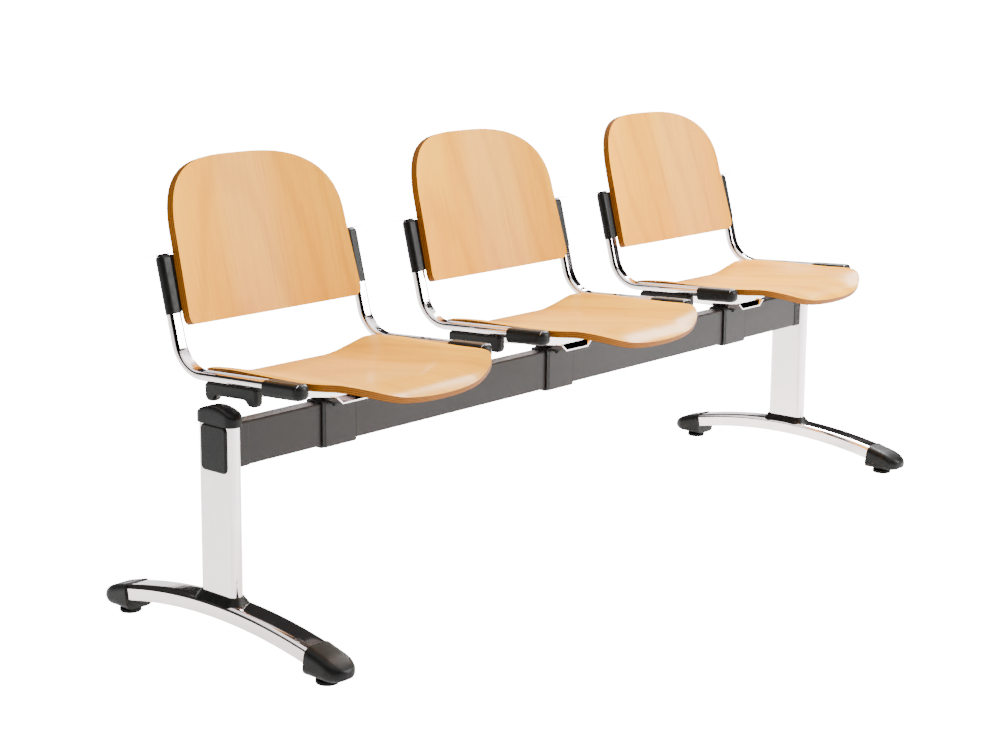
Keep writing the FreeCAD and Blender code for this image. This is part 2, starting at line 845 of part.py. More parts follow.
# Side profile of the seat shell: y, height of the middle, height of the sides
SEAT_STATIONS = [
    (92, 405.5, 421), (75, 407, 426), (20, 409.5, 431), (-30, 412.5, 432), (-80, 415.5, 432.5),
    (-130, 419, 433.5), (-175, 422.5, 436), (-205, 423, 437), (-228, 420.5, 435),
    (-246, 415.5, 431), (-259, 409.5, 425), (-267, 404, 419),
]


def seat_rise(part):
    """How far the shell has risen to its side, from 0 at the middle to 1 at the edge."""
    part = min(1.0, max(0.0, (abs(part) - 0.45) / 0.5))
    smooth = part * part * (3 - 2 * part)
    return (smooth + part * part) / 2


def seat_height(x, y):
    """Height of the shell's upper face, with straight runs between the stations."""
    for (y1, middle1, side1), (y2, middle2, side2) in zip(SEAT_STATIONS, SEAT_STATIONS[1:]):
        if y1 >= y >= y2:
            share = (y1 - y) / (y1 - y2)
            middle = middle1 + (middle2 - middle1) * share
            side = side1 + (side2 - side1) * share
            return middle + (side - middle) * seat_rise(x / D.seat_half.value)
    raise ValueError("outside the seat")


def seat(chair, x):
    """The shell is a moulded sheet: a curved surface, thickened down and cut to its plan outline."""
    half = D.seat_half.value
    rows = []
    for y, middle, side in SEAT_STATIONS:
        row = []
        for step in range(-8, 9):
            part = step / 8 * 1.08
            row.append(V(half * part, y, middle + (side - middle) * seat_rise(part)))
        rows.append(row)
    surface = Part.BSplineSurface()
    surface.interpolate(rows)
    shell = surface.toShape().makeOffsetShape(-D.seat_thick.value, 0.01, fill=True)
    cutter = seat_outline_prism()
    shape = shell.common(cutter)
    label = f"{chair}_seat"
    item = doc.addObject("Part::Feature", label)
    item.Label = label
    item.Shape = shape.Solids[0]
    place(item, x, 0, 0)
    return keep(item)


def seat_outline_prism():
    """The seat's plan: small rear corners, straight sides and one full curve round the front."""
    half, rear, small = D.seat_half.value, D.seat_rear.value, D.seat_rear_corner.value
    deep, form = D.seat_front_deep.value, D.seat_front_form.value
    shoulder = deep - D.seat_front.value
    front = []
    for step in range(25):
        angle = math.pi * step / 24
        across = math.copysign(abs(math.cos(angle)) ** (2 / form), math.cos(angle))
        front.append(V(half * across, shoulder - deep * math.sin(angle) ** (2 / form), 0))
    curve = Part.BSplineCurve()
    curve.interpolate(Points=front, InitialTangent=V(0, -1, 0), FinalTangent=V(0, 1, 0))
    near = small * (1 - math.sqrt(0.5))
    edges = [
        curve.toShape(),
        Part.makeLine(front[-1], V(-half, rear - small, 0)),
        Part.Arc(V(-half, rear - small, 0), V(near - half, rear - near, 0),
                 V(small - half, rear, 0)).toShape(),
        Part.makeLine(V(small - half, rear, 0), V(half - small, rear, 0)),
        Part.Arc(V(half - small, rear, 0), V(half - near, rear - near, 0),
                 V(half, rear - small, 0)).toShape(),
        Part.makeLine(V(half, rear - small, 0), front[0]),
    ]
    face = Part.Face(Part.Wire(edges))
    face.translate(V(0, 0, 300))
    return face.extrude(V(0, 0, 200))


def carrier(chair, x):
    """The pressed carrier: a winged plate with turned-down edges welded over a trough."""
    body = new_body(f"{chair}_carrier")
    thick = D.plate_thick
    flat, shoulder = D.plate_flat, D.plate_shoulder
    inside = D.tube_place - D.tube_width / 2 - D.fit_gap
    low, rise, tab = D.plate_low, D.plate_rise, D.tab_top

    def wing(top_of, face, deep):
        sketch = new_sketch(body, "XZ_Plane", face)
        right = [(flat, low, 0), (shoulder, rise, 0), (inside, rise + 4, 0), (inside, tab, 0),
                 (inside - thick, tab, 0)]
        right += top_of
        left = [(-a, b, r) for a, b, r in reversed(right)]
        outline(sketch, right + left)
        pad(body, sketch, deep, back=True)

    sheet_top = [(inside - thick, rise + 4 + thick, 0), (shoulder - 1, rise + thick, 0),
                 (flat, low + thick, 0)]
    wing(sheet_top, D.plate_front, D.plate_front + D.plate_back)
    # The upright edges reach to just under the seat shell
    for edge in (-D.plate_front, D.plate_back):
        y = edge.value
        lip_top = [(inside - thick, tab - 6, 0)]
        for x_at in (178, 160, 147, 120, 105, 90, flat.value):
            slope = (seat_height(x_at + 1, y) - seat_height(x_at - 1, y)) / 2
            deep = D.seat_thick.value * math.sqrt(1 + slope * slope)
            lip_top.append((x_at, seat_height(x_at, y) - deep - 0.5, 0))
        wing(lip_top, -edge if y < 0 else -edge + thick, thick)
    # The trough: a flared channel with an open end, under the plate
    trough = new_sketch(body, "XZ_Plane", D.tray_front)
    bottom, top = D.tray_bottom / 2, D.tray_top / 2
    bed = D.beam_top + D.clamp_wall + D.fit_gap
    outline(trough, [(-bottom, bed, 0), (bottom, bed, 0), (top, low, 0), (top - thick * 1.4, low, 0),
                     (bottom - thick * 0.4, bed + thick, 0), (-bottom + thick * 0.4, bed + thick, 0),
                     (-top + thick * 1.4, low, 0), (-top, low, 0)])
    pad(body, trough, D.tray_front + D.tray_rear, back=True)
    place(body, x, 0, 0)
    return keep(body)


def clamp(chair, x):
    body = new_body(f"{chair}_beam_clamp")
    middle = (-D.beam_depth / 2, D.beam_top - D.beam_height / 2)
    wall = D.clamp_wall * 2
    gap = D.clamp_gap * 2
    pad(body, block(new_sketch(body, "YZ_Plane"), D.beam_depth + wall, D.beam_height + wall,
                    D.beam_corner, middle), D.clamp_width, both=True)
    pocket(body, block(new_sketch(body, "YZ_Plane"), D.beam_depth + gap, D.beam_height + gap,
                       D.beam_corner, middle))
    place(body, x, 0, 0)
    return keep(body)


def build_leg(side, way):
    x = D.leg_spacing / 2 * way
    column(side, x)
    column_cap(side, x, way)
    bolt_cover(side, x, turned=(way > 0))
    bar = foot_bar(side, x)
    column_collar(side, x)
    for end in ("front", "rear"):
        toe_cap(side, end, x, bar)
        glide(side, end, x)
    beam_collar(side, way)


def build_chair(index):
    chair = f"chair_{index + 1}"
    x = D.chair_shift + D.chair_pitch * (index - 1)
    seat(chair, x)
    back_panel(chair, x)
    carrier(chair, x)
    clamp(chair, x)
    for side, way in (("left", -1), ("right", 1)):
        rail_x = x + D.tube_place * way
        side_tube(chair, side, rail_x)
        rail_cap(chair, side, rail_x)
        saddle(chair, side, rail_x)
        back_sleeve(chair, side, x, way)


def main():
    for side, way in (("left", -1), ("right", 1)):
        build_leg(side, way)
    beam()
    for index in range(3):
        build_chair(index)
    doc.recompute()
    for item in doc.Objects:
        if "Invalid" in item.State or "Error" in item.State:
            raise RuntimeError(f"{item.Label} failed: {item.State}")
    for item in PARTS:
        if item.Shape.isNull() or not item.Shape.isValid():
            raise RuntimeError(f"{item.Label} has no valid shape")
    os.makedirs("parts", exist_ok=True)
    for item in PARTS:
        item.Shape.exportStep(os.path.join("parts", f"{item.Label}.step"))
        solids = len(item.Shape.Solids)
        print(f"{item.Label}: {solids} solid, {item.Shape.Volume / 1000:.1f} cm3")


main()
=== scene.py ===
import bmesh
import bpy
import logging
import math
from collections.abc import Callable
from dataclasses import dataclass, field
from enum import Enum
from mathutils import Matrix, Vector


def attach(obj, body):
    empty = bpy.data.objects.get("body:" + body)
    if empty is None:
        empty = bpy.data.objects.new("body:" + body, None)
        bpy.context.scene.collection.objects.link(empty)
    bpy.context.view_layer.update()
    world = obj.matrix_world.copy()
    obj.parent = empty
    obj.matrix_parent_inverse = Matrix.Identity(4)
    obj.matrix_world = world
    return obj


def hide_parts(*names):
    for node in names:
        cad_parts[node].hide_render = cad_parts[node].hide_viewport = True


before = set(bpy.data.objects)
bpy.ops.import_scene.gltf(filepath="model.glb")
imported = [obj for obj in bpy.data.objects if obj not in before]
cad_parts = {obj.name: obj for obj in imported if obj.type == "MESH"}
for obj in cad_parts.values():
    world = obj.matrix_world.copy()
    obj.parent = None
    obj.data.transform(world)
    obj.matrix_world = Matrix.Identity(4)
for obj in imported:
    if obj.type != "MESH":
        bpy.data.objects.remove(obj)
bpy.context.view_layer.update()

LOG = logging.getLogger("bench")
MM = 0.001
Pair = tuple[float, float]
Triple = tuple[float, float, float]
Shape = bmesh.types.BMesh
Face = bmesh.types.BMFace
Edge = bmesh.types.BMEdge
Socket = bpy.types.NodeSocket


class Finish(Enum):
    """The finishes of the bench's pieces, each named for its slot in the record."""

    CHROME = "chrome"
    PLASTIC = "black_plastic"
    RUBBER = "black_rubber"
    BEAM = "beam_paint"
    BEECH = "beech"


class Nodes:
    """A node tree, with short calls for the nodes that the finishes and the stage share."""

    def __init__(self, owner: bpy.types.Material | bpy.types.World) -> None:
        """Switch an owner's nodes on and find its shader.

        Args:
            owner: The material or world.
        """
        owner.use_nodes = True
        self.owner = owner
        self.tree = owner.node_tree
        self.shader = self.tree.nodes.get("Principled BSDF") or self.tree.nodes["Background"]

    def set(self, node: bpy.types.Node | None = None, /, **values: float | tuple) -> None:
        """Set a node's own sockets, with underscores for the spaces in their names.

        Args:
            node: The node, or nothing for the shader.
            values: The sockets' values by name.
        """
        for name, value in values.items():
            (node or self.shader).inputs[name.replace("_", " ")].default_value = value

    def link(self, out: Socket, into: Socket) -> None:
        """Join two sockets."""
        self.tree.links.new(out, into)

    def feed(self, out: Socket, name: str) -> None:
        """Join a socket to one of the shader's."""
        self.link(out, self.shader.inputs[name])

    def new(self, kind: str, **feeds: Socket) -> bpy.types.Node:
        """Add a node.

        Args:
            kind: The node's type, without its prefix.
            feeds: The sockets that drive its inputs, by name.

        Returns:
            The node.
        """
        node = self.tree.nodes.new("ShaderNode" + kind)
        for name, out in feeds.items():
            self.link(out, node.inputs[name])
        return node

    def place(self, scale: Triple, attribute: str = "", shift: Triple = (0, 0, 0)) -> Socket:
        """Coordinates for a pattern.

        Args:
            scale: The pattern's repeats to the metre along each axis.
            attribute: The piece's own attribute to read, or nothing for Object coordinates.
            shift: How far the pattern is moved.

        Returns:
            The vector socket.
        """
        if attribute:
            source = self.new("Attribute")
            source.attribute_name = attribute
            where = source.outputs["Vector"]
        else:
            where = self.new("TexCoord").outputs["Object"]
        mapping = self.new("Mapping", Vector=where)
        self.set(mapping, Scale=scale, Location=shift)
        return mapping.outputs["Vector"]

    def noise(self, where: Socket, detail: float, distortion: float = 0.0) -> Socket:
        """Noise over coordinates that already hold the scale.

        Args:
            where: The coordinates.
            detail: How many finer layers it has.
            distortion: How much it is warped.

        Returns:
            The noise's socket.
        """
        node = self.new("TexNoise", Vector=where)
        self.set(node, Scale=1.0, Detail=detail, Distortion=distortion)
        return node.outputs["Fac"]

    def waves(self, where: Socket, kind: str, distortion: float, detail: float) -> Socket:
        """Bands along Z or rings about it, over coordinates that already hold the scale.

        Args:
            where: The coordinates.
            kind: BANDS or RINGS.
            distortion: How much the waves are warped.
            detail: How many finer layers the warp has.

        Returns:
            The waves' socket.
        """
        node = self.new("TexWave", Vector=where)
        node.wave_type = kind
        node.bands_direction = node.rings_direction = "Z"
        self.set(node, Scale=1.0, Distortion=distortion, Detail=detail, Detail_Scale=1.5)
        return node.outputs["Fac"]

    def ramp(self, value: Socket, stops: list[tuple[float, Triple]]) -> Socket:
        """Colours along a value.

        Args:
            value: The value's socket.
            stops: Places along the value, each with its colour.

        Returns:
            The colour's socket.
        """
        node = self.new("ValToRGB", Fac=value)
        elements = node.color_ramp.elements
        while len(elements) < len(stops):
            elements.new(0.5)
        for element, (position, colour) in zip(elements, stops):
            element.position = position
            element.color = (*colour, 1.0)
        return node.outputs["Color"]

    def span(self, value: Socket, low: float, high: float, to_low: float, to_high: float) -> Socket:
        """A value carried from one range to another.

        Args:
            value: The value's socket.
            low: Where the first range starts.
            high: Where it ends.
            to_low: Where the second range starts.
            to_high: Where it ends.

        Returns:
            The new value's socket.
        """
        node = self.new("MapRange", Value=value)
        self.set(node, From_Min=low, From_Max=high, To_Min=to_low, To_Max=to_high)
        return node.outputs["Result"]

    def mix(self, share: Socket | float, first: Socket, second: Socket | Triple,
            blend: str = "MIX") -> Socket:
        """Mix two colours by a share.

        Args:
            share: How much of the second colour there is.
            first: The first colour's socket.
            second: The second colour, or its socket.
            blend: The way in which they are mixed.

        Returns:
            The mixed colour's socket.
        """
        node = self.new("Mix")
        node.data_type = "RGBA"
        node.blend_type = blend
        if isinstance(share, float):
            node.inputs["Factor"].default_value = share
        else:
            self.link(share, node.inputs["Factor"])
        self.link(first, node.inputs[6])
        if isinstance(second, tuple):
            node.inputs[7].default_value = (*second, 1.0)
        else:
            self.link(second, node.inputs[7])
        return node.outputs[2]

    def bump(self, height: Socket, strength: float, deep: float) -> None:
        """Drive the shader's normal from a height.

        Args:
            height: The height's socket.
            strength: How much of the bump shows.
            deep: How deep it is, in metres.
        """
        node = self.new("Bump", Height=height)
        self.set(node, Strength=strength, Distance=deep)
        self.feed(node.outputs["Normal"], "Normal")

    def to_camera(self) -> Socket:
        """Whether a ray comes straight from the camera, for the stage alone."""
        return self.new("LightPath").outputs["Is Camera Ray"]

    def clouded(self, cloud: Socket, colour: Triple, lift: float, ends: Pair, rough: Pair) -> None:
        """Let a cloud of noise lighten the shader's colour and change its gloss.

        Args:
            cloud: The noise.
            colour: The darker colour.
            lift: How many times brighter the paler colour is.
            ends: Where in the noise the two colours stand.
            rough: The least and the most roughness.
        """
        pale = tuple(min(1.0, v * lift) for v in colour)
        self.feed(self.ramp(cloud, [(ends[0], colour), (ends[1], pale)]), "Base Color")
        self.feed(self.span(cloud, 0.3, 0.7, *rough), "Roughness")


def material(name: str) -> Nodes:
    """Start a material, and give its nodes."""
    return Nodes(bpy.data.materials.new(name))


@dataclass(frozen=True)
class Chrome:
    """Bright plating with the faintest ripple."""

    tint: Triple = (0.84, 0.765, 0.76)
    rough: Pair = (0.05, 0.1)

    def build(self) -> bpy.types.Material:
        """Make the material.

        Returns:
            The material.
        """
        nodes = material("chrome")
        nodes.set(Metallic=1.0)
        cloud = nodes.noise(nodes.place((35, 35, 35)), 2.0)
        nodes.clouded(cloud, self.tint, 1.05, (0.35, 0.65), self.rough)
        nodes.bump(nodes.noise(nodes.place((60, 60, 60)), 1.0), 0.03, 0.001)
        return nodes.owner


@dataclass(frozen=True)
class Moulded:
    """Moulded black plastic or rubber with a fine leathery texture."""

    name: str
    colour: Triple
    rough: Pair
    grit: float

    def build(self) -> bpy.types.Material:
        """Make the material.

        Returns:
            The material.
        """
        nodes = material(self.name)
        nodes.set(IOR=1.45, Specular_IOR_Level=0.2)
        cloud = nodes.noise(nodes.place((90, 90, 90)), 4.0)
        nodes.clouded(cloud, self.colour, 1.35, (0.3, 0.75), self.rough)
        nodes.bump(nodes.noise(nodes.place((1400, 1400, 1400)), 2.0), self.grit, 0.0002)
        return nodes.owner


@dataclass(frozen=True)
class Painted:
    """Powder coat on the beam, warm dark grey with a slight orange peel."""

    colour: Triple = (0.012, 0.0102, 0.0095)
    rough: Pair = (0.34, 0.44)

    def build(self) -> bpy.types.Material:
        """Make the material.

        Returns:
            The material.
        """
        nodes = material("beam_paint")
        nodes.set(IOR=1.5, Specular_IOR_Level=0.24)
        cloud = nodes.noise(nodes.place((3, 12, 12)), 5.0)
        nodes.clouded(cloud, self.colour, 1.25, (0.3, 0.7), self.rough)
        nodes.bump(nodes.noise(nodes.place((700, 700, 700)), 2.0), 0.12, 0.0002)
        return nodes.owner


@dataclass(frozen=True)
class Beech:
    """Lacquered beech face veneer: long grain with arches, fine streaks and short rays."""

    pale: Triple = (0.98, 0.47, 0.028)
    warm: Triple = (0.92, 0.375, 0.018)
    dark: Triple = (0.6, 0.2, 0.008)

    def build(self) -> bpy.types.Material:
        """Make the material.

        Returns:
            The material.
        """
        nodes = material("beech_veneer")
        broad = nodes.noise(nodes.place((11, 0.8, 1), "grain"), 2.0)
        wide = nodes.place((2.1, 0.28, 0), "grain", (-0.1, 0.25, 0))
        arches = nodes.waves(wide, "RINGS", 2.2, 2.0)
        close = nodes.place((8.4, 1.12, 0), "grain", (-0.4, 1.0, 0))
        lines = nodes.waves(close, "RINGS", 3.0, 3.0)
        streaks = nodes.noise(nodes.place((330, 5, 1), "grain"), 4.0, 0.2)
        fine = nodes.noise(nodes.place((95, 2.2, 1), "grain", (3, 1, 0)), 3.0)
        rays = nodes.noise(nodes.place((900, 120, 1), "grain"), 1.0)
        tone = nodes.ramp(broad, [(0.3, self.warm), (0.62, self.pale)])
        for pattern, low, high, share, colour in (
                (arches, 0.5, 1.0, 0.5, self.warm), (lines, 0.7, 1.0, 0.24, self.dark),
                (streaks, 0.5, 0.72, 0.42, self.dark), (fine, 0.56, 0.74, 0.3, self.pale),
                (rays, 0.66, 0.76, 0.25, self.dark)):
            tone = nodes.mix(nodes.span(pattern, low, high, 0.0, share), tone, colour)
        nodes.feed(tone, "Base Color")
        nodes.feed(nodes.span(streaks, 0.3, 0.7, 0.3, 0.4), "Roughness")
        nodes.set(IOR=1.4, Specular_IOR_Level=0.0, Coat_Weight=0.26, Coat_IOR=1.34,
                  Coat_Roughness=0.22)
        nodes.bump(streaks, 0.05, 0.0003)
        return nodes.owner


@dataclass(frozen=True)
class Plies:
    """The sawn and lacquered edge of the moulded board, with its layers showing."""

    pale: Triple = (0.29, 0.1, 0.007)
    dark: Triple = (0.14, 0.042, 0.003)

    def build(self) -> bpy.types.Material:
        """Make the material.

        Returns:
            The material.
        """
        nodes = material("beech_edge")
        nodes.set(Specular_IOR_Level=0.1)
        layers = nodes.waves(nodes.place((0, 0, 100), "grain"), "BANDS", 0.3, 1.0)
        pores = nodes.noise(nodes.place((160, 160, 2400)), 3.0)
        tone = nodes.ramp(layers, [(0.25, self.pale), (0.8, self.dark)])
        tone = nodes.mix(nodes.span(pores, 0.5, 0.75, 0.0, 0.5), tone, self.dark)
        nodes.feed(tone, "Base Color")
        nodes.feed(nodes.span(pores, 0.3, 0.7, 0.45, 0.6), "Roughness")
        nodes.bump(pores, 0.1, 0.0003)
        return nodes.owner


@dataclass(frozen=True)
class Camera:
    """The photographer's place, worked out from the chairs' pitch and the feet."""

    place: Triple = (-2.6638, -2.1062, 1.0378)
    azimuth: float = -45.243
    elevation: float = 10.219
    roll: float = -0.363
    lens: float = 67.306
    sensor: float = 36.0
    shift: Pair = (0.154, -0.0688)

    def build(self) -> None:
        """Set up the camera and make it the scene's own."""
        data = bpy.data.cameras.new("camera")
        data.lens = self.lens
        data.sensor_width = self.sensor
        data.sensor_fit = "HORIZONTAL"
        data.shift_x, data.shift_y = self.shift
        az, el, roll = (math.radians(v) for v in (self.azimuth, self.elevation, self.roll))
        back = Vector((math.sin(az) * math.cos(el), -math.cos(az) * math.cos(el), math.sin(el)))
        right = (-back).cross(Vector((0, 0, 1))).normalized()
        up = right.cross(-back)
        across = right * math.cos(roll) + up * math.sin(roll)
        above = up * math.cos(roll) - right * math.sin(roll)
        turn = Matrix((across, above, back)).transposed().to_4x4()
        camera = bpy.data.objects.new("camera", data)
        camera.matrix_world = Matrix.Translation(self.place) @ turn
        bpy.context.scene.collection.objects.link(camera)
        bpy.context.scene.camera = camera


@dataclass(frozen=True)
class Lamp:
    """One soft area light."""

    name: str
    place: Triple
    aim: Triple
    size: float
    power: float

    def build(self) -> None:
        """Hang the light and point it."""
        data = bpy.data.lights.new(self.name, "AREA")
        data.size = self.size
        data.energy = self.power
        lamp = bpy.data.objects.new(self.name, data)
        lamp.location = self.place
        way = Vector(self.aim) - Vector(self.place)
        lamp.rotation_euler = way.to_track_quat("-Z", "Y").to_euler()
        bpy.context.scene.collection.objects.link(lamp)


@dataclass(frozen=True)
class Studio:
    """A plain pale floor, soft lights, and surroundings that draw dark lines in the chrome.

    The sky holds its brightness by height, from straight down at 0 to straight up at 1.
    The fades darken it towards the front (Y) and below the ceiling (Z).
    """

    floor_half: float = 40.0
    floor_tone: float = 0.9
    floor_glow: float = 1.2
    floor_white: float = 16.0
    sky: tuple[Pair, ...] = ((0.0, 1.0), (0.566, 1.0), (0.588, 0.012), (0.82, 0.02), (0.88, 1.0),
                             (1.0, 1.2))
    sky_power: float = 2.0
    sky_white: float = 9.0
    fades: tuple[tuple[str, float, float], ...] = (("Y", -0.3, 0.1), ("Z", 0.64, 0.76))
    faded: float = 0.02
    lamps: tuple[Lamp, ...] = (
        Lamp("overhead", (1.3, -0.6, 3.7), (0.0, 0.0, 0.0), 3.2, 60.0),
        Lamp("front_right", (2.7, -3.4, 2.2), (-0.1, 0.0, 0.5), 2.2, 330.0),
        Lamp("rear_right", (2.9, 1.0, 2.6), (-0.2, -0.1, 0.4), 1.2, 300.0),
    )

    def build(self) -> None:
        """Lay the floor, hang the lights and set the surroundings."""
        self.floor()
        for lamp in self.lamps:
            lamp.build()
        self.surroundings()

    def floor(self) -> None:
        """A pale floor that is white to the camera and only glows to the bench."""
        shape = bmesh.new()
        bmesh.ops.create_grid(shape, x_segments=1, y_segments=1, size=self.floor_half)
        mesh = bpy.data.meshes.new("floor")
        shape.to_mesh(mesh)
        shape.free()
        floor = bpy.data.objects.new("floor", mesh)
        bpy.context.scene.collection.objects.link(floor)
        nodes = material("floor")
        tone = (self.floor_tone, self.floor_tone, self.floor_tone, 1)
        nodes.set(Base_Color=tone, Roughness=0.9, Emission_Color=(1, 1, 1, 1))
        glow = nodes.span(nodes.to_camera(), 0, 1, self.floor_glow, self.floor_white)
        nodes.feed(glow, "Emission Strength")
        mesh.materials.append(nodes.owner)

    def surroundings(self) -> None:
        """White to the camera; to the chrome, a bright ceiling, dark walls and a light skirting."""
        nodes = Nodes(bpy.data.worlds.new("studio"))
        way = nodes.new("TexCoord").outputs["Generated"]
        split = nodes.new("SeparateXYZ", Vector=way).outputs
        height = nodes.span(split["Z"], -1.0, 1.0, 0.0, 1.0)
        tone = nodes.ramp(height, [(at, (bright, bright, bright)) for at, bright in self.sky])
        behind = nodes.new("Math")
        behind.operation = "MAXIMUM"
        for (axis, low, high), socket in zip(self.fades, behind.inputs):
            nodes.link(nodes.span(split[axis], low, high, self.faded, 1.0), socket)
        shaded = nodes.mix(1.0, tone, behind.outputs["Value"], "MULTIPLY")
        white = (self.sky_white, self.sky_white, self.sky_white)
        nodes.feed(nodes.mix(nodes.to_camera(), shaded, white), "Color")
        nodes.set(Strength=self.sky_power)
        bpy.context.scene.world = nodes.owner


def leaning(x: float, y: float, z: float, lean: float) -> Matrix:
    """A local frame at a point in millimetres, leaned back by an angle in degrees."""
    return Matrix.Translation((x, y, z)) @ Matrix.Rotation(-math.radians(lean), 4, "X")


def about_x(centre: Triple, angle: float) -> Matrix:
    """A turn round an axis along X through a centre, by an angle in radians."""
    turn = Matrix.Rotation(angle, 4, "X")
    return Matrix.Translation(centre) @ turn @ Matrix.Translation(-Vector(centre))


def quarter(at: float, start: float, run: float) -> float:
    """Height of a quarter circle that falls from 1 at its start to 0 at the end of its run."""
    share = min(1.0, max(0.0, (at - start) / run))
    return math.sqrt(1 - share * share)


def outline(corners: list[Triple], steps: int = 4) -> Shape:
    """A flat face on XY through corners, each rounded to its own radius.

    Args:
        corners: Each corner's x, y and radius.
        steps: Segments in each rounded corner.

    Returns:
        A mesh with the one face.
    """
    shape = bmesh.new()
    verts = [shape.verts.new((x, y, 0)) for x, y, _ in corners]
    shape.faces.new(verts)
    count = len(corners)
    for index, (x, y, radius) in enumerate(corners):
        if radius <= 0:
            continue
        here = Vector((x, y))
        before = (Vector(corners[index - 1][:2]) - here).normalized()
        after = (Vector(corners[(index + 1) % count][:2]) - here).normalized()
        half = math.acos(max(-1.0, min(1.0, before.dot(after)))) / 2
        spot = min(shape.verts, key=lambda v: (v.co.xy - here).length)
        bmesh.ops.bevel(shape, geom=[spot], offset=radius / math.tan(half), offset_type="ABSOLUTE",
                        segments=steps, profile=0.5, affect="VERTICES", material=-1)
    return shape


def oblong(width: float, depth: float, corner: float, middle: Pair = (0, 0),
           steps: int = 4) -> Shape:
    """A flat rectangle with rounded corners.

    Args:
        width: Its size along X.
        depth: Its size along Y.
        corner: The radius of its corners.
        middle: Where its middle lies.
        steps: Segments in each rounded corner.

    Returns:
        A mesh with the one face.
    """
    x, y = middle
    a, b = width / 2, depth / 2
    return outline([(x - a, y - b, corner), (x + a, y - b, corner), (x + a, y + b, corner),
                    (x - a, y + b, corner)], steps)


def stand_up(shape: Shape, plane: str) -> Shape:
    """Turn a face on XY to stand on XZ or YZ, first axis along the plane's first.

    Args:
        shape: The face's mesh.
        plane: The plane to stand on.

    Returns:
        The same mesh.
    """
    turns = {"XZ": Matrix(((1, 0, 0), (0, 0, -1), (0, 1, 0))),
             "YZ": Matrix(((0, 0, 1), (1, 0, 0), (0, 1, 0)))}
    bmesh.ops.transform(shape, matrix=turns[plane].to_4x4(), verts=shape.verts)
    return shape


def moved(shape: Shape, way: Triple) -> Shape:
    """Carry a whole mesh straight, and give it back."""
    bmesh.ops.translate(shape, vec=way, verts=shape.verts)
    return shape


def grow(shape: Shape, faces: list[Face], move: Matrix) -> list[Face]:
    """Extrude faces and carry the new ones by a matrix.

    Args:
        shape: The mesh.
        faces: The faces to extrude.
        move: Where the new faces go, from where the old ones are.

    Returns:
        The new end faces.
    """
    grown = bmesh.ops.extrude_face_region(shape, geom=faces)["geom"]
    verts = [item for item in grown if isinstance(item, bmesh.types.BMVert)]
    bmesh.ops.transform(shape, matrix=move, verts=verts)
    return [item for item in grown if isinstance(item, Face)]


def push(shape: Shape, way: Triple) -> list[Face]:
    """Extrude the mesh's one face straight."""
    return grow(shape, list(shape.faces), Matrix.Translation(way))


def swing(shape: Shape, faces: list[Face], centre: Triple, angle: float, steps: int) -> list[Face]:
    """Extrude faces round an axis along X through a centre, by an angle in even steps.

    Args:
        shape: The mesh.
        faces: The faces to extrude.
        centre: A point on the axis.
        angle: The whole turn, in radians.
        steps: The number of steps.

    Returns:
        The new end faces.
    """
    about = about_x(centre, angle / steps)
    for _ in range(steps):
        faces = grow(shape, faces, about)
    return faces


def soften(shape: Shape, width: float, choose: Callable[[Edge], bool], steps: int = 3) -> None:
    """Round the edges that a test picks out.

    Args:
        shape: The mesh.
        width: How far the rounding reaches from an edge.
        choose: The test.
        steps: Segments in the rounding.
    """
    edges = [edge for edge in shape.edges if choose(edge)]
    bmesh.ops.bevel(shape, geom=edges, offset=width, offset_type="OFFSET", segments=steps,
                    profile=0.5, affect="EDGES", material=-1, clamp_overlap=True)


def sharp(edge: Edge, least: float = 55.0) -> bool:
    """Whether two faces meet at an edge by more than an angle in degrees."""
    return len(edge.link_faces) == 2 and edge.calc_face_angle(0) > math.radians(least)


def both_ends(edge: Edge, axis: int, value: float, slack: float = 0.05) -> bool:
    """Whether both of an edge's ends lie at one value of an axis."""
    return all(abs(vert.co[axis] - value) < slack for vert in edge.verts)


def at_ends(axis: int, half: float) -> Callable[[Edge], bool]:
    """A test for the edges at the two ends of a centred length."""
    return lambda edge: both_ends(edge, axis, -half) or both_ends(edge, axis, half)


def slices(shape: Shape, normal: Triple, places: list[float]) -> None:
    """Cut loops through the mesh at places along a direction.

    Args:
        shape: The mesh.
        normal: The direction.
        places: How far along it the cuts lie.
    """
    for place in places:
        geom = list(shape.verts) + list(shape.edges) + list(shape.faces)
        bmesh.ops.bisect_plane(shape, geom=geom, plane_co=Vector(normal) * place, plane_no=normal)


def turned(profile: tuple[Pair, ...], steps: int) -> Shape:
    """A solid of revolution about Z from radius and height pairs.

    Args:
        profile: The pairs, from one end of the axis to the other.
        steps: Segments round the axis.

    Returns:
        The solid's mesh.
    """
    shape = bmesh.new()
    verts = [shape.verts.new((r, 0, z)) for r, z in profile]
    edges = [shape.edges.new(pair) for pair in zip(verts, verts[1:])]
    bmesh.ops.spin(shape, geom=verts + edges, cent=(0, 0, 0), axis=(0, 0, 1), dvec=(0, 0, 0),
                   angle=math.tau, steps=steps, use_merge=True)
    bmesh.ops.remove_doubles(shape, verts=shape.verts, dist=0.001)
    return shape


def joined(parts: list[Shape]) -> Shape:
    """Put several meshes into one.

    Args:
        parts: The meshes, which are used up.

    Returns:
        The one mesh.
    """
    whole = bmesh.new()
    for part in parts:
        mesh = bpy.data.meshes.new("part")
        part.to_mesh(mesh)
        part.free()
        whole.from_mesh(mesh)
        bpy.data.meshes.remove(mesh)
    return whole


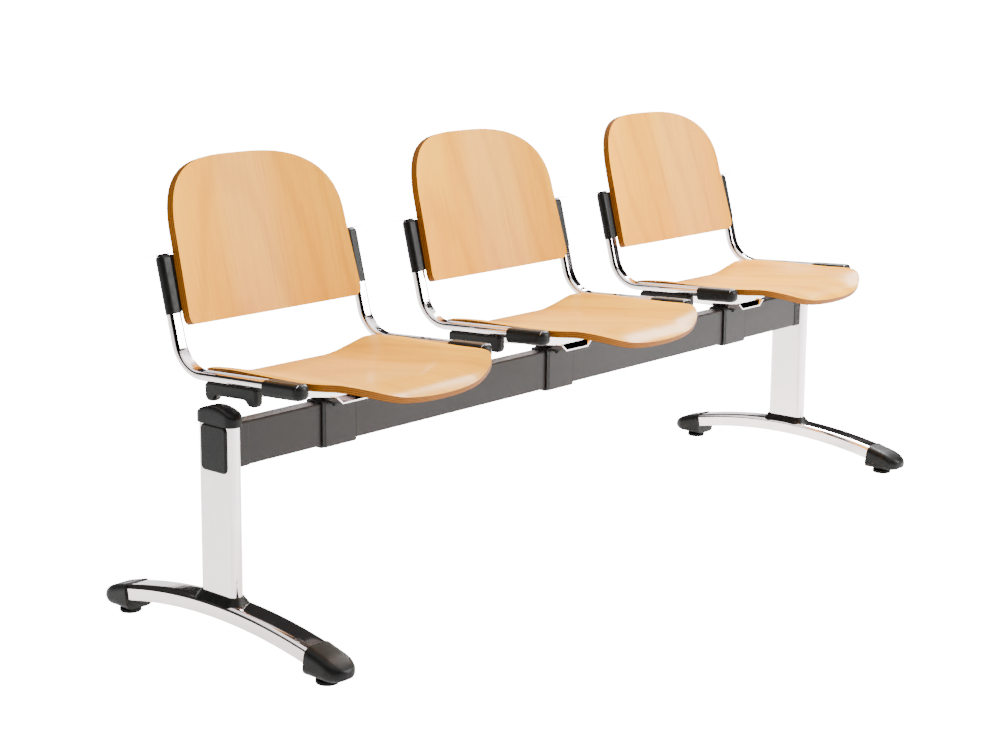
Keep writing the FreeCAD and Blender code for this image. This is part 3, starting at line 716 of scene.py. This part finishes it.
def round_end(shape: Shape, faces: list[Face], way: Triple, radius: float, steps: int = 5) -> None:
    """Close a solid's end with a rim that turns over like a quarter circle.

    Args:
        shape: The mesh.
        faces: The end's one face.
        way: The unit vector that points out of the end.
        radius: The rim's radius.
        steps: The rings in the rim.
    """
    bmesh.ops.recalc_face_normals(shape, faces=shape.faces)
    for step in range(steps):
        first, last = (math.pi / 2 * at / steps for at in (step, step + 1))
        bmesh.ops.inset_region(shape, faces=faces, depth=0, use_even_offset=True,
                               thickness=radius * (math.cos(first) - math.cos(last)))
        rise = radius * (math.sin(last) - math.sin(first))
        bmesh.ops.translate(shape, vec=Vector(way) * rise, verts=list(faces[0].verts))


def pillow(shape: Shape, axis: int, long: float, radius: float, steps: int = 5) -> None:
    """Extrude the mesh's one face along an axis and turn both ends over with a round rim.

    Args:
        shape: The mesh.
        axis: 0, 1 or 2 for X, Y or Z.
        long: The length between the two rims.
        radius: The radius of the rims.
        steps: The rings in each rim.
    """
    out = Vector([float(at == axis) for at in range(3)])
    start = list(shape.faces)
    end = push(shape, out * long)
    round_end(shape, start, -out, radius, steps)
    round_end(shape, end, out, radius, steps)


def thicken(shape: Shape, way: Triple, thick: float, rim: float) -> None:
    """Make a board of a sheet, with the edge's material round it and its rims rounded.

    Args:
        shape: The sheet, which stays as the board's face.
        way: The way that the face looks, roughly.
        thick: The board's thickness.
        rim: The radius of its rims.
    """
    bmesh.ops.recalc_face_normals(shape, faces=shape.faces)
    if sum(face.normal.dot(Vector(way)) for face in shape.faces) < 0:
        bmesh.ops.reverse_faces(shape, faces=shape.faces)
    bmesh.ops.solidify(shape, geom=shape.faces, thickness=thick)
    bmesh.ops.recalc_face_normals(shape, faces=shape.faces)
    for face in shape.faces:
        mates = [other for edge in face.edges for other in edge.link_faces if other is not face]
        if len([mate for mate in mates if face.normal.dot(mate.normal) < 0.5]) >= 2:
            face.material_index = 1
    soften(shape, rim, sharp, 3)


def lay_grain(shape: Shape, board: Callable[[Vector], Triple]) -> None:
    """Give every vertex its place in the veneer: across and along the grain, and in depth.

    Args:
        shape: The board's mesh.
        board: What gives that place, in millimetres, for a point of the board.
    """
    grain = shape.verts.layers.float_vector.new("grain")
    for vert in shape.verts:
        vert[grain] = Vector(board(vert.co)) * MM


@dataclass(frozen=True)
class Ring:
    """A rounded rectangle that stands across the foot, leaning forward at its top."""

    forward: float
    half: float
    low: float
    high: float
    corner: float
    lean: float

    def face(self) -> Shape:
        """The ring as a flat face, always with its vertices in the same order.

        Returns:
            A mesh with the one face.
        """
        middle = (0, (self.low + self.high) / 2)
        flat = oblong(self.half * 2, self.high - self.low, self.corner, middle, 5)
        for vert in flat.verts:
            x, z, _ = vert.co
            vert.co = (x, -self.forward - self.lean * (z - self.low), z)
        return flat


def ring_stack(rings: list[Ring]) -> Shape:
    """A closed solid extruded from ring to ring.

    Args:
        rings: The rings, from one end of the solid to the other.

    Returns:
        The solid's mesh.
    """
    shape = rings[0].face()
    here = [vert.co.copy() for vert in shape.verts]
    faces = list(shape.faces)
    for ring in rings[1:]:
        flat = ring.face()
        there = [vert.co.copy() for vert in flat.verts]
        flat.free()
        faces = grow(shape, faces, Matrix.Identity(4))
        for vert in faces[0].verts:
            vert.co = there[min(range(len(here)), key=lambda at: (here[at] - vert.co).length)]
        here = there
    return shape


@dataclass
class Workshop:
    """Turns meshes in millimetres into pieces that ride on the bench."""

    finishes: dict[Finish, bpy.types.Material]
    edge: bpy.types.Material
    made: list[bpy.types.Object] = field(default_factory=list)

    def piece(self, shape: Shape, name: str, finish: Finish, placing: Matrix,
              stands_for: tuple[str, ...] = (), body: str = "bench", smooth: float = 38.0,
              board: bool = False) -> None:
        """Finish a mesh and put it in the scene.

        Args:
            shape: The mesh, in millimetres, which is used up.
            name: The piece's name.
            finish: Its finish.
            placing: Its local frame, in millimetres.
            stands_for: The CAD nodes that it replaces.
            body: The body that it rides on.
            smooth: The least angle that stays a sharp edge, in degrees.
            board: Whether it is a moulded board, with its faces turned outwards already and
                the edge's material on those of index 1.
        """
        if not board:
            bmesh.ops.recalc_face_normals(shape, faces=shape.faces)
        bmesh.ops.transform(shape, matrix=Matrix.Scale(MM, 4) @ placing, verts=shape.verts)
        mesh = bpy.data.meshes.new(name)
        shape.to_mesh(mesh)
        shape.free()
        mesh.materials.append(self.finishes[finish])
        if board:
            mesh.materials.append(self.edge)
        mesh.shade_smooth()
        mesh.set_sharp_from_angle(angle=math.radians(smooth))
        item = bpy.data.objects.new(name, mesh)
        flats = item.modifiers.new("flat faces stay flat", "WEIGHTED_NORMAL")
        flats.keep_sharp = True
        bpy.context.scene.collection.objects.link(item)
        if stands_for:
            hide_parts(*stands_for)
        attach(item, body)
        self.made.append(item)
        LOG.info("made %s with %d faces", name, len(mesh.polygons))

    def dress(self, node: str, finish: Finish) -> None:
        """Give a CAD node that stays its finish.

        Args:
            node: The node's name.
            finish: Its finish.
        """
        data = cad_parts[node].data
        data.materials.clear()
        data.materials.append(self.finishes[finish])


@dataclass(frozen=True)
class Leg:
    """A flat column on an arched foot, with its caps, collar, cover and glides.

    Sizes are in millimetres. The foot's section is given by its half width, its sides' depth
    and a crown over the crease between side and top.
    """

    side: str
    way: int
    shop: Workshop
    spacing: float = 1634.0
    foot_radius: float = 990.0
    crease: float = 70.5
    crown: float = 6.0
    foot_half: float = 25.0
    foot_deep: float = 19.5
    foot_flat: float = 8.0
    reach: float = 230.0
    column_size: Triple = (26.0, 80.0, 12.0)
    column_top: float = 362.0
    cap_low: float = 356.0
    cap_crown: float = 385.5
    glide_place: float = 231.0
    glide_profile: tuple[Pair, ...] = (
        (0, 0), (15.5, 0), (17.2, 0.6), (18, 2), (18, 6.2), (16.8, 7.4), (12.5, 8.0),
        (11.5, 10.4), (5, 10.5), (5, 23.4), (0, 23.4))

    @property
    def home(self) -> Matrix:
        """The leg's own frame."""
        return Matrix.Translation((self.spacing / 2 * self.way, 0, 0))

    def foot_top(self, x: float, y: float) -> float:
        """Height of the foot's crowned top at a point.

        Args:
            x: The point's place across the foot.
            y: Its place along the foot.

        Returns:
            The height.
        """
        lift = self.crown * (1 - abs(x / self.foot_half) ** self.foot_flat)
        radius = self.foot_radius + lift
        return self.crease - self.foot_radius + math.sqrt(radius * radius - y * y)

    def build(self) -> None:
        """Make every piece of the leg."""
        self.foot()
        self.column()
        self.collar()
        self.cap()
        self.cover()
        for end, way in (("front", -1), ("rear", 1)):
            self.toe(end, way)
            self.glide(end, way)

    def foot(self) -> None:
        """The arched foot: a crowned section swung along the arch."""
        low, corner, points, steps = self.crease - self.foot_deep, 2.0, 16, 36
        top = []
        for point in range(points + 1):
            x = self.foot_half * math.cos(math.pi * point / points)
            top.append((x, self.foot_top(x, 0), 0.0))
        base = [(-self.foot_half, low, corner), (self.foot_half, low, corner)]
        shape = stand_up(outline(base + top, 2), "XZ")
        angle = math.asin(self.reach / self.foot_radius)
        centre = (0, 0, self.crease - self.foot_radius)
        bmesh.ops.transform(shape, matrix=about_x(centre, angle), verts=shape.verts)
        swing(shape, list(shape.faces), centre, -2 * angle, steps)
        self.shop.piece(shape, f"foot_{self.side}", Finish.CHROME, self.home,
                        (f"leg_{self.side}_foot_bar",), smooth=24)

    def column(self) -> None:
        """The flat oval column."""
        low = self.crease + self.crown - 1
        shape = moved(oblong(*self.column_size, steps=7), (0, 0, low))
        push(shape, (0, 0, self.column_top - low))
        self.shop.piece(shape, f"column_{self.side}", Finish.CHROME, self.home,
                        (f"leg_{self.side}_column",), smooth=24)

    def collar(self) -> None:
        """The skirt that hides the weld between column and foot."""
        foot, head = (49.0, 97.0, 19.0), (32.5, 86.5, 15.0)
        top, widest, sink = 86.0, 24.6, 0.2
        shape = oblong(*foot, steps=6)
        lower = list(shape.verts)
        tops = push(shape, (0, 0, 15))
        rounds = oblong(*head, steps=6)
        targets = [vert.co.copy() for vert in rounds.verts]
        rounds.free()
        upper = sorted(tops[0].verts, key=lambda v: math.atan2(v.co.y / foot[1], v.co.x / foot[0]))
        targets.sort(key=lambda p: math.atan2(p.y / head[1], p.x / head[0]))
        for vert, target in zip(upper, targets):
            vert.co = (target.x, target.y, top)
        for vert in lower:
            x = min(widest, max(-widest, vert.co.x))
            vert.co.z = self.foot_top(x, vert.co.y) - sink
        soften(shape, 2.2, lambda edge: both_ends(edge, 2, top), 3)
        self.shop.piece(shape, f"column_collar_{self.side}", Finish.PLASTIC, self.home,
                        (f"leg_{self.side}_column_collar",))

    def cap(self) -> None:
        """The domed cap on the column, which curves down to the front and the rear."""
        deep, shoulder, still = 86.0, 368.0, 362.0
        shape = moved(oblong(32, deep, 14, steps=6), (0, 0, self.cap_low))
        faces = push(shape, (0, 0, shoulder - self.cap_low))
        for inset, rise in ((0.5, 1.9), (1.1, 1.3), (1.6, 0.7), (2.4, 0.3)):
            bmesh.ops.inset_region(shape, faces=faces, thickness=inset, depth=0)
            bmesh.ops.translate(shape, vec=(0, 0, rise), verts=list(faces[0].verts))
        slices(shape, (0, 1, 0), [step * 6.0 for step in range(-6, 7)])
        top = max(vert.co.z for vert in shape.verts)
        for vert in shape.verts:
            share = max(0.0, (vert.co.z - still) / (top - still))
            arch = 1 - (vert.co.y / (deep / 2)) ** 2
            vert.co.z += share * (self.cap_crown - top) * arch
        soften(shape, 1.0, lambda edge: both_ends(edge, 2, self.cap_low), 2)
        self.shop.piece(shape, f"column_cap_{self.side}", Finish.PLASTIC, self.home,
                        (f"leg_{self.side}_column_cap",))

    def cover(self) -> None:
        """The pillow-shaped cover over the beam's bolts."""
        size, middle, face, thick = (58.0, 73.0, 8.0), (-2.0, 319.5), 13.0, 4.0
        flat = stand_up(oblong(*size, middle), "YZ")
        shape = moved(flat, (face * self.way, 0, 0))
        push(shape, (thick * self.way, 0, 0))
        soften(shape, 2.6, lambda edge: both_ends(edge, 0, (face + thick) * self.way), 4)
        self.shop.piece(shape, f"bolt_cover_{self.side}", Finish.PLASTIC, self.home,
                        (f"leg_{self.side}_bolt_cover",))

    def toe(self, end: str, way: int) -> None:
        """The boot on one end of the foot, ring by ring from its mouth to its nose.

        Its sides, top and underside each turn in over a quarter circle's start and run.

        Args:
            end: The foot's end, front or rear.
            way: -1 for the front and 1 for the rear.
        """
        mouth, long, steps, wall, least = 205.0, 72.0, 16, 2.5, 0.4
        top, slope, drop, sole, lift, rounding = 55.8, 0.235, 13.0, 11.0, 9.0, 13.0
        sides, over, under = (251.0, 26.0), (240.0, 37.0), (250.0, 27.0)
        rings = []
        for step in range(steps + 1):
            run = long * math.sin(math.pi / 2 * step / steps) ** 0.9
            forward = mouth + run
            half = wall + sides[1] * quarter(forward, *sides)
            high = top - slope * run - drop * (1 - quarter(forward, *over))
            low = sole + lift * (1 - quarter(forward, *under))
            corner = min(rounding, half - least, (high - low) / 2 - least)
            lean = 0.15 * (1 - run / long) ** 2
            rings.append(Ring(forward, half, low, high, corner, lean))
        turn = Matrix.Identity(4) if way < 0 else Matrix.Rotation(math.pi, 4, "Z")
        self.shop.piece(ring_stack(rings), f"toe_cap_{self.side}_{end}", Finish.PLASTIC,
                        self.home @ turn, (f"leg_{self.side}_toe_cap_{end}",))

    def glide(self, end: str, way: int) -> None:
        """The levelling glide and its stem.

        Args:
            end: The foot's end, front or rear.
            way: -1 for the front and 1 for the rear.
        """
        self.shop.piece(turned(self.glide_profile, 32), f"glide_{self.side}_{end}", Finish.RUBBER,
                        self.home @ Matrix.Translation((0, self.glide_place * way, 0)),
                        (f"leg_{self.side}_glide_{end}",), body=f"glide_{self.side}_{end}")


@dataclass(frozen=True)
class Beam:
    """The beam, a box section, and the collars at its ends."""

    shop: Workshop
    long: float = 1568.0
    deep: float = 30.0
    tall: float = 70.0
    top: float = 360.0
    collar_long: float = 19.9
    collar_wall: float = 0.95
    collar_place: float = 794.0

    def bar(self, long: float, wall: float, corner: float) -> Shape:
        """A centred length of the beam's section, larger by a wall all round.

        Args:
            long: The length.
            wall: How much larger it is on each side.
            corner: The radius of its corners.

        Returns:
            The length's mesh.
        """
        middle = (-self.deep / 2, self.top - self.tall / 2)
        flat = oblong(self.deep + wall * 2, self.tall + wall * 2, corner, middle)
        shape = moved(stand_up(flat, "YZ"), (-long / 2, 0, 0))
        push(shape, (long, 0, 0))
        return shape

    def build(self) -> None:
        """Make the beam and its collars."""
        self.shop.piece(self.bar(self.long, 0, 3), "beam", Finish.BEAM, Matrix.Identity(4),
                        ("beam_tube",))
        for side, way, finish in (("left", -1, Finish.BEAM), ("right", 1, Finish.PLASTIC)):
            shape = self.bar(self.collar_long, self.collar_wall, 3.5)
            soften(shape, 0.8, at_ends(0, self.collar_long / 2), 2)
            self.shop.piece(shape, f"beam_collar_{side}", finish,
                            Matrix.Translation((self.collar_place * way, 0, 0)),
                            (f"beam_end_collar_{side}",))


@dataclass(frozen=True)
class Chair:
    """One place: a moulded seat and back on bent tubes, a carrier and a clamp.

    Sizes are in millimetres. Each station of the seat is a place from rear to front with
    the height of the seat's middle and of its sides there. The sides' rise has its start and
    its run in shares of the half width. The veneer lengths are how far the grain of one chair's
    boards lies from the last one's.
    """

    number: int
    shop: Workshop
    pitch: float = 570.0
    shift: float = -17.0
    seat_half: float = 188.0
    seat_thick: float = 11.0
    seat_rear: float = 83.0
    seat_front: float = 262.0
    seat_rise: Pair = (0.4, 0.52)
    back_place: Pair = (106.0, 491.5)
    back_lean: float = 14.4
    back_radius: float = 480.0
    back_thick: float = 11.5
    back_sag: float = 39.5
    tube_size: Triple = (25.0, 14.5, 6.5)
    tube_place: float = 209.0
    tube_set: float = 17.5
    tube_bend: float = 62.0
    tube_top: float = 113.5
    rail_front: float = 162.0
    rail_height: float = 422.8
    rail_tilt: float = 2.7
    clamp_size: Triple = (38.0, 78.0, 4.0)
    # Size of the black bands of painted shade beside the clamp's ends.
    shade_band_size: Triple = (37.0, 77.0, 3.5)
    clamp_half: float = 34.2
    clamp_middle: Pair = (-15.0, 325.0)
    veneer_across: float = 90.0
    veneer_seat: float = 700.0
    veneer_back: float = 400.0
    stations: tuple[Triple, ...] = (
        (92, 405.5, 421), (75, 407, 426), (20, 409.5, 431), (-30, 412.5, 432), (-80, 415.5, 432.5),
        (-130, 419, 433.5), (-175, 422.5, 436), (-205, 423, 437), (-228, 420.5, 435),
        (-246, 415.5, 431), (-259, 409.5, 425), (-267, 404, 419))

    @property
    def middle(self) -> float:
        """The chair's place along the beam."""
        return self.shift + self.pitch * (self.number - 2)

    @property
    def home(self) -> Matrix:
        """The chair's own frame."""
        return Matrix.Translation((self.middle, 0, 0))

    @property
    def back_frame(self) -> Matrix:
        """The back panel's frame, on its lower front edge."""
        return leaning(self.middle, *self.back_place, self.back_lean)

    def rail_frame(self, way: int) -> Matrix:
        """A seat rail's frame, on its centre line."""
        return leaning(self.middle + self.tube_place * way, 0, self.rail_height, self.rail_tilt)

    def named(self, part: str) -> tuple[str, ...]:
        """The CAD node's name for one of this chair's parts."""
        return (f"chair_{self.number}_{part}",)

    def build(self) -> None:
        """Make every piece of the chair."""
        self.seat()
        self.back()
        self.clamp()
        self.nuts()
        self.shop.dress(*self.named("carrier"), Finish.CHROME)
        for side, way in (("left", -1), ("right", 1)):
            self.tube(side, way)
            self.rail_cap(side, way)
            self.saddle(side, way)
            self.sleeve(side, way)

    def seat_level(self, y: float, column: int) -> float:
        """Height of the seat's middle (column 1) or sides (column 2), smoothly by station.

        Args:
            y: The place from rear to front.
            column: The stations' column to read.

        Returns:
            The height.
        """
        rows = self.stations
        for index in range(len(rows) - 1):
            if rows[index][0] >= y >= rows[index + 1][0]:
                break
        slopes = []
        for at in (index, index + 1):
            low, high = max(0, at - 1), min(len(rows) - 1, at + 1)
            slopes.append((rows[high][column] - rows[low][column]) / (rows[high][0] - rows[low][0]))
        step = rows[index + 1][0] - rows[index][0]
        t = (y - rows[index][0]) / step
        a, b = rows[index][column], rows[index + 1][column]
        return ((2 * t ** 3 - 3 * t ** 2 + 1) * a + (t ** 3 - 2 * t ** 2 + t) * step * slopes[0]
                + (3 * t ** 2 - 2 * t ** 3) * b + (t ** 3 - t ** 2) * step * slopes[1])

    def seat_height(self, x: float, y: float) -> float:
        """Height of the seat's upper face at a point.

        Args:
            x: The point's place across the seat.
            y: Its place from rear to front.

        Returns:
            The height.
        """
        middle, side = self.seat_level(y, 1), self.seat_level(y, 2)
        start, run = self.seat_rise
        share = min(1.0, max(0.0, (abs(x) / self.seat_half - start) / run))
        smooth = share * share * (3 - 2 * share)
        return middle + (side - middle) * (smooth + share * share) / 2

    def seat(self) -> None:
        """The moulded seat: a sheet drawn to its outline, shaped, thickened and rounded."""
        front_deep, front_form, crowding, corner = 121.0, 2.32, 1.15, 12.0
        shoulder = front_deep - self.seat_front
        shape = bmesh.new()
        bmesh.ops.create_grid(shape, x_segments=56, y_segments=52, size=1.0)
        for vert in shape.verts:
            across = math.sin(vert.co.x * math.pi / 2)
            along = 1 - (1 - (vert.co.y + 1) / 2) ** crowding
            x = across * self.seat_half
            round_off = (1 - min(1.0, abs(across)) ** front_form) ** (1 / front_form)
            edge = shoulder - front_deep * round_off
            inside = max(0.0, abs(x) - self.seat_half + corner)
            rear = self.seat_rear - corner + math.sqrt(max(0.0, corner ** 2 - inside ** 2))
            y = rear + (edge - rear) * along
            vert.co = (x, y, self.seat_height(x, y))
        thicken(shape, (0, 0, 1), self.seat_thick, 2.6)
        first, last = self.stations[-1][0] + 1.0, self.stations[0][0] - 1.0
        lay_grain(shape, lambda spot: (
            spot.x + self.veneer_across * self.number, spot.y + self.veneer_seat * self.number,
            self.seat_height(spot.x, max(first, min(last, spot.y))) - spot.z))
        self.shop.piece(shape, f"seat_{self.number}", Finish.BEECH, self.home, self.named("seat"),
                        board=True)

    def back(self) -> None:
        """The moulded back: a sheet drawn to its outline and bent about an upright axis."""
        half, waist, shoulder, high, corner = 194.0, 188.5, 135.0, 271.0, 15.0
        across_form, top_form = 2.9, 2.5
        axis = self.back_sag - self.back_radius
        shape = bmesh.new()
        bmesh.ops.create_grid(shape, x_segments=56, y_segments=44, size=1.0)
        for vert in shape.verts:
            across = math.sin(vert.co.x * math.pi / 2)
            along = (vert.co.y + 1) / 2
            lift = (1 - min(1.0, abs(across)) ** across_form) ** (1 / top_form)
            top = shoulder + (high - shoulder) * lift
            inside = max(0.0, abs(across) * half - half + corner)
            foot = corner - math.sqrt(max(0.0, corner * corner - inside * inside))
            z = foot + (top - foot) * along
            x = across * (half + (waist - half) * min(1.0, z / shoulder))
            vert.co = (x, axis + math.sqrt(self.back_radius ** 2 - x * x), z)
        thicken(shape, (0, -1, 0), self.back_thick, 2.0)
        lay_grain(shape, lambda spot: (
            spot.x + self.veneer_across * self.number, spot.z + self.veneer_back * self.number,
            math.hypot(spot.x, spot.y - axis) - self.back_radius))
        self.shop.piece(shape, f"backrest_{self.number}", Finish.BEECH, self.back_frame,
                        self.named("backrest"), board=True)

    def tube(self, side: str, way: int) -> None:
        """The bent tube: rail, bend and upright in one sweep.

        Args:
            side: The chair's side, left or right.
            way: -1 for the left and 1 for the right.
        """
        lean, tilt = math.radians(self.back_lean), math.radians(self.rail_tilt)
        back_y, back_z = self.back_place
        y = back_y + self.tube_set * math.cos(lean)
        z = back_z - self.tube_set * math.sin(lean)
        reach = y * math.cos(lean) - (z - self.rail_height) * math.sin(lean)
        reach /= math.cos(lean - tilt)
        foot_y, foot_z = reach * math.cos(tilt), self.rail_height - reach * math.sin(tilt)
        below = (foot_y - back_y) * math.sin(lean) + (foot_z - back_z) * math.cos(lean)
        turn = math.pi / 2 - lean + tilt
        setback = self.tube_bend * math.tan(turn / 2)
        flat = stand_up(oblong(*self.tube_size, steps=6), "XZ")
        shape = moved(flat, (0, -self.rail_front, 0))
        ends = push(shape, (0, self.rail_front + reach - setback, 0))
        ends = swing(shape, ends, (0, reach - setback, self.tube_bend), turn, 18)
        up = Vector((0, math.sin(lean - tilt), math.cos(lean - tilt)))
        grow(shape, ends, Matrix.Translation(up * (self.tube_top - below - setback)))
        self.shop.piece(shape, f"side_tube_{self.number}_{side}", Finish.CHROME,
                        self.rail_frame(way), self.named(f"side_tube_{side}"), smooth=50)

    def rail_cap(self, side: str, way: int) -> None:
        """The black boot on the rail's front end.

        Args:
            side: The chair's side, left or right.
            way: -1 for the left and 1 for the right.
        """
        half, nose, mouth, corner, low, tall, rim = 15.0, -168.0, -89.0, 13.0, -8.0, 7.2, 9.0
        flat = outline([(-half, nose, corner), (half, nose, corner), (half, mouth, 0),
                        (-half, mouth, 0)], 7)
        shape = moved(flat, (0, 0, low))
        pillow(shape, 2, tall, rim, 6)
        for vert in shape.verts:
            if vert.co.y > mouth - 11:
                vert.co.y = mouth
        self.shop.piece(shape, f"rail_cap_{self.number}_{side}", Finish.PLASTIC,
                        self.rail_frame(way), self.named(f"rail_cap_{side}"))

    def saddle(self, side: str, way: int) -> None:
        """The shoe under the rail, with its two feet and its tongue.

        Args:
            side: The chair's side, left or right.
            way: -1 for the left and 1 for the right.
        """
        top, foot, waist, core = -7.3, -38.5, -28.5, 3.2
        corners = [(-68, top, 6), (-68, foot, 9.5), (-47, foot + 1, 9), (-41, waist, 8),
                   (24, waist, 8), (30, foot + 1, 9), (51, foot, 9.5), (51, top, 8)]
        shape = moved(stand_up(outline(corners, 5), "YZ"), (-core, 0, 0))
        pillow(shape, 0, core * 2, 4.8)
        front, rear, under, half = -88.9, -60.0, top - 3.0, 4.5
        flat = outline([(front, top, 0), (front, under, 0), (rear, under, 0), (rear, top, 0)])
        tongue = moved(stand_up(flat, "YZ"), (-half, 0, 0))
        push(tongue, (half * 2, 0, 0))
        self.shop.piece(joined([shape, tongue]), f"saddle_{self.number}_{side}", Finish.PLASTIC,
                        self.rail_frame(way), self.named(f"saddle_{side}"))

    def sleeve(self, side: str, way: int) -> None:
        """The sleeve on the upright's end, with the ear that holds the back panel.

        Args:
            side: The chair's side, left or right.
            way: -1 for the left and 1 for the right.
        """
        size, low, tall, rim = (27.0, 18.0, 8.8), 22.0, 87.6, 8.4
        flat = oblong(*size, (self.tube_place * way, self.tube_set), 7)
        shape = moved(flat, (0, 0, low))
        top = push(shape, (0, 0, tall))
        round_end(shape, top, (0, 0, 1), rim, 6)
        gap, touch, inner, outer, rounding = 0.05, 182.0, -12.0, 18.0, 9.0
        reach = self.back_radius + self.back_thick + gap
        away = math.sqrt(reach ** 2 - touch ** 2)
        slope = math.atan2(touch, away)
        spot = Matrix.Translation((touch * way, self.back_sag - self.back_radius + away, 0))
        spot = spot @ Matrix.Rotation(-slope * way, 4, "Z")
        ear_low, ear_high, ear_thick = 24.0, 115.0, 4.0
        a, b = sorted((inner * way / math.cos(slope), outer * way / math.cos(slope)))
        left, right = (rounding, 0) if way > 0 else (0, rounding)
        flat = outline([(a, ear_low, left), (b, ear_low, right), (b, ear_high, right),
                        (a, ear_high, left)], 5)
        ear = stand_up(flat, "XZ")
        push(ear, (0, ear_thick, 0))
        soften(ear, 1.0, lambda edge: both_ends(edge, 1, ear_thick), 2)
        bmesh.ops.transform(ear, matrix=spot, verts=ear.verts)
        self.shop.piece(joined([shape, ear]), f"back_sleeve_{self.number}_{side}", Finish.PLASTIC,
                        self.back_frame, self.named(f"back_sleeve_{side}"))
        self.screws(side, spot @ Matrix.Translation((-1.5 * way, ear_thick, 0)))

    def screws(self, side: str, spot: Matrix) -> None:
        """The heads of the two screws in a sleeve's ear.

        Args:
            side: The chair's side, left or right.
            spot: The frame of the ear's rear face.
        """
        profile = ((0, 1.0), (2.2, 1.0), (2.2, 2.6), (4.6, 2.2), (6.0, 0.9), (6.2, 0.0), (0, 0))
        heads = []
        for z in (50.0, 88.0):
            head = turned(profile, 20)
            stand = Matrix.Translation((0, 0, z)) @ Matrix.Rotation(-math.pi / 2, 4, "X")
            bmesh.ops.transform(head, matrix=spot @ stand, verts=head.verts)
            heads.append(head)
        self.shop.piece(joined(heads), f"back_screws_{self.number}_{side}", Finish.CHROME,
                        self.back_frame)

    def clamp(self) -> None:
        """The clamp round the beam, with black bands of painted shade beside its two ends, where
        its end faces lie in shadow.
        """
        flat = stand_up(oblong(*self.clamp_size, self.clamp_middle), "YZ")
        shape = moved(flat, (-self.clamp_half, 0, 0))
        push(shape, (self.clamp_half * 2, 0, 0))
        soften(shape, 0.7, at_ends(0, self.clamp_half), 2)
        self.shop.piece(shape, f"beam_clamp_{self.number}", Finish.BEAM, self.home,
                        self.named("beam_clamp"))
        # Painted shade: two black bands beside the clamp's ends stand in for its end faces and the
        # gap at them lying in shadow.
        shade_bands = []
        for start, thick in ((-41.0, 7.0), (34.0, 2.0)):
            shade_band = stand_up(oblong(*self.shade_band_size, self.clamp_middle), "YZ")
            push(moved(shade_band, (start, 0, 0)), (thick, 0, 0))
            shade_bands.append(shade_band)
        self.shop.piece(joined(shade_bands), f"clamp_shade_bands_{self.number}", Finish.PLASTIC, self.home)

    def nuts(self) -> None:
        """Two nuts under the carrier, in front of the clamp."""
        apart, front, low, tall, radius = 44.0, -41.0, 358.6, 5.4, 6.8
        profile = ((0, 355.2), (2.4, 355.2), (3.0, 355.8), (3.0, 359.0), (0, 359.0))
        nuts = []
        for x in (-apart / 2, apart / 2):
            turns = [math.pi * corner / 3 for corner in range(6)]
            hexagon = [(radius * math.cos(turn), radius * math.sin(turn), 0.0) for turn in turns]
            nut = moved(outline(hexagon), (x, front, low))
            push(nut, (0, 0, tall))
            bmesh.ops.recalc_face_normals(nut, faces=nut.faces)
            soften(nut, 0.7, lambda edge: both_ends(edge, 2, low), 2)
            nuts += [nut, moved(turned(profile, 16), (x, front, 0))]
        self.shop.piece(joined(nuts), f"clamp_nuts_{self.number}", Finish.PLASTIC, self.home)


def main() -> None:
    """Build the scene."""
    logging.basicConfig(level=logging.INFO, format="%(message)s")
    Camera().build()
    Studio().build()
    plastic = Moulded("black_plastic", (0.0035, 0.0034, 0.0032), (0.36, 0.46), 0.25)
    rubber = Moulded("black_rubber", (0.002, 0.002, 0.002), (0.6, 0.75), 0.35)
    finishes = {Finish.CHROME: Chrome().build(), Finish.PLASTIC: plastic.build(),
                Finish.RUBBER: rubber.build(), Finish.BEAM: Painted().build(),
                Finish.BEECH: Beech().build()}
    shop = Workshop(finishes, Plies().build())
    for side, way in (("left", -1), ("right", 1)):
        Leg(side, way, shop).build()
    Beam(shop).build()
    for number in (1, 2, 3):
        Chair(number, shop).build()
    LOG.info("%d pieces", len(shop.made))


if __name__ == "__main__":
    main()
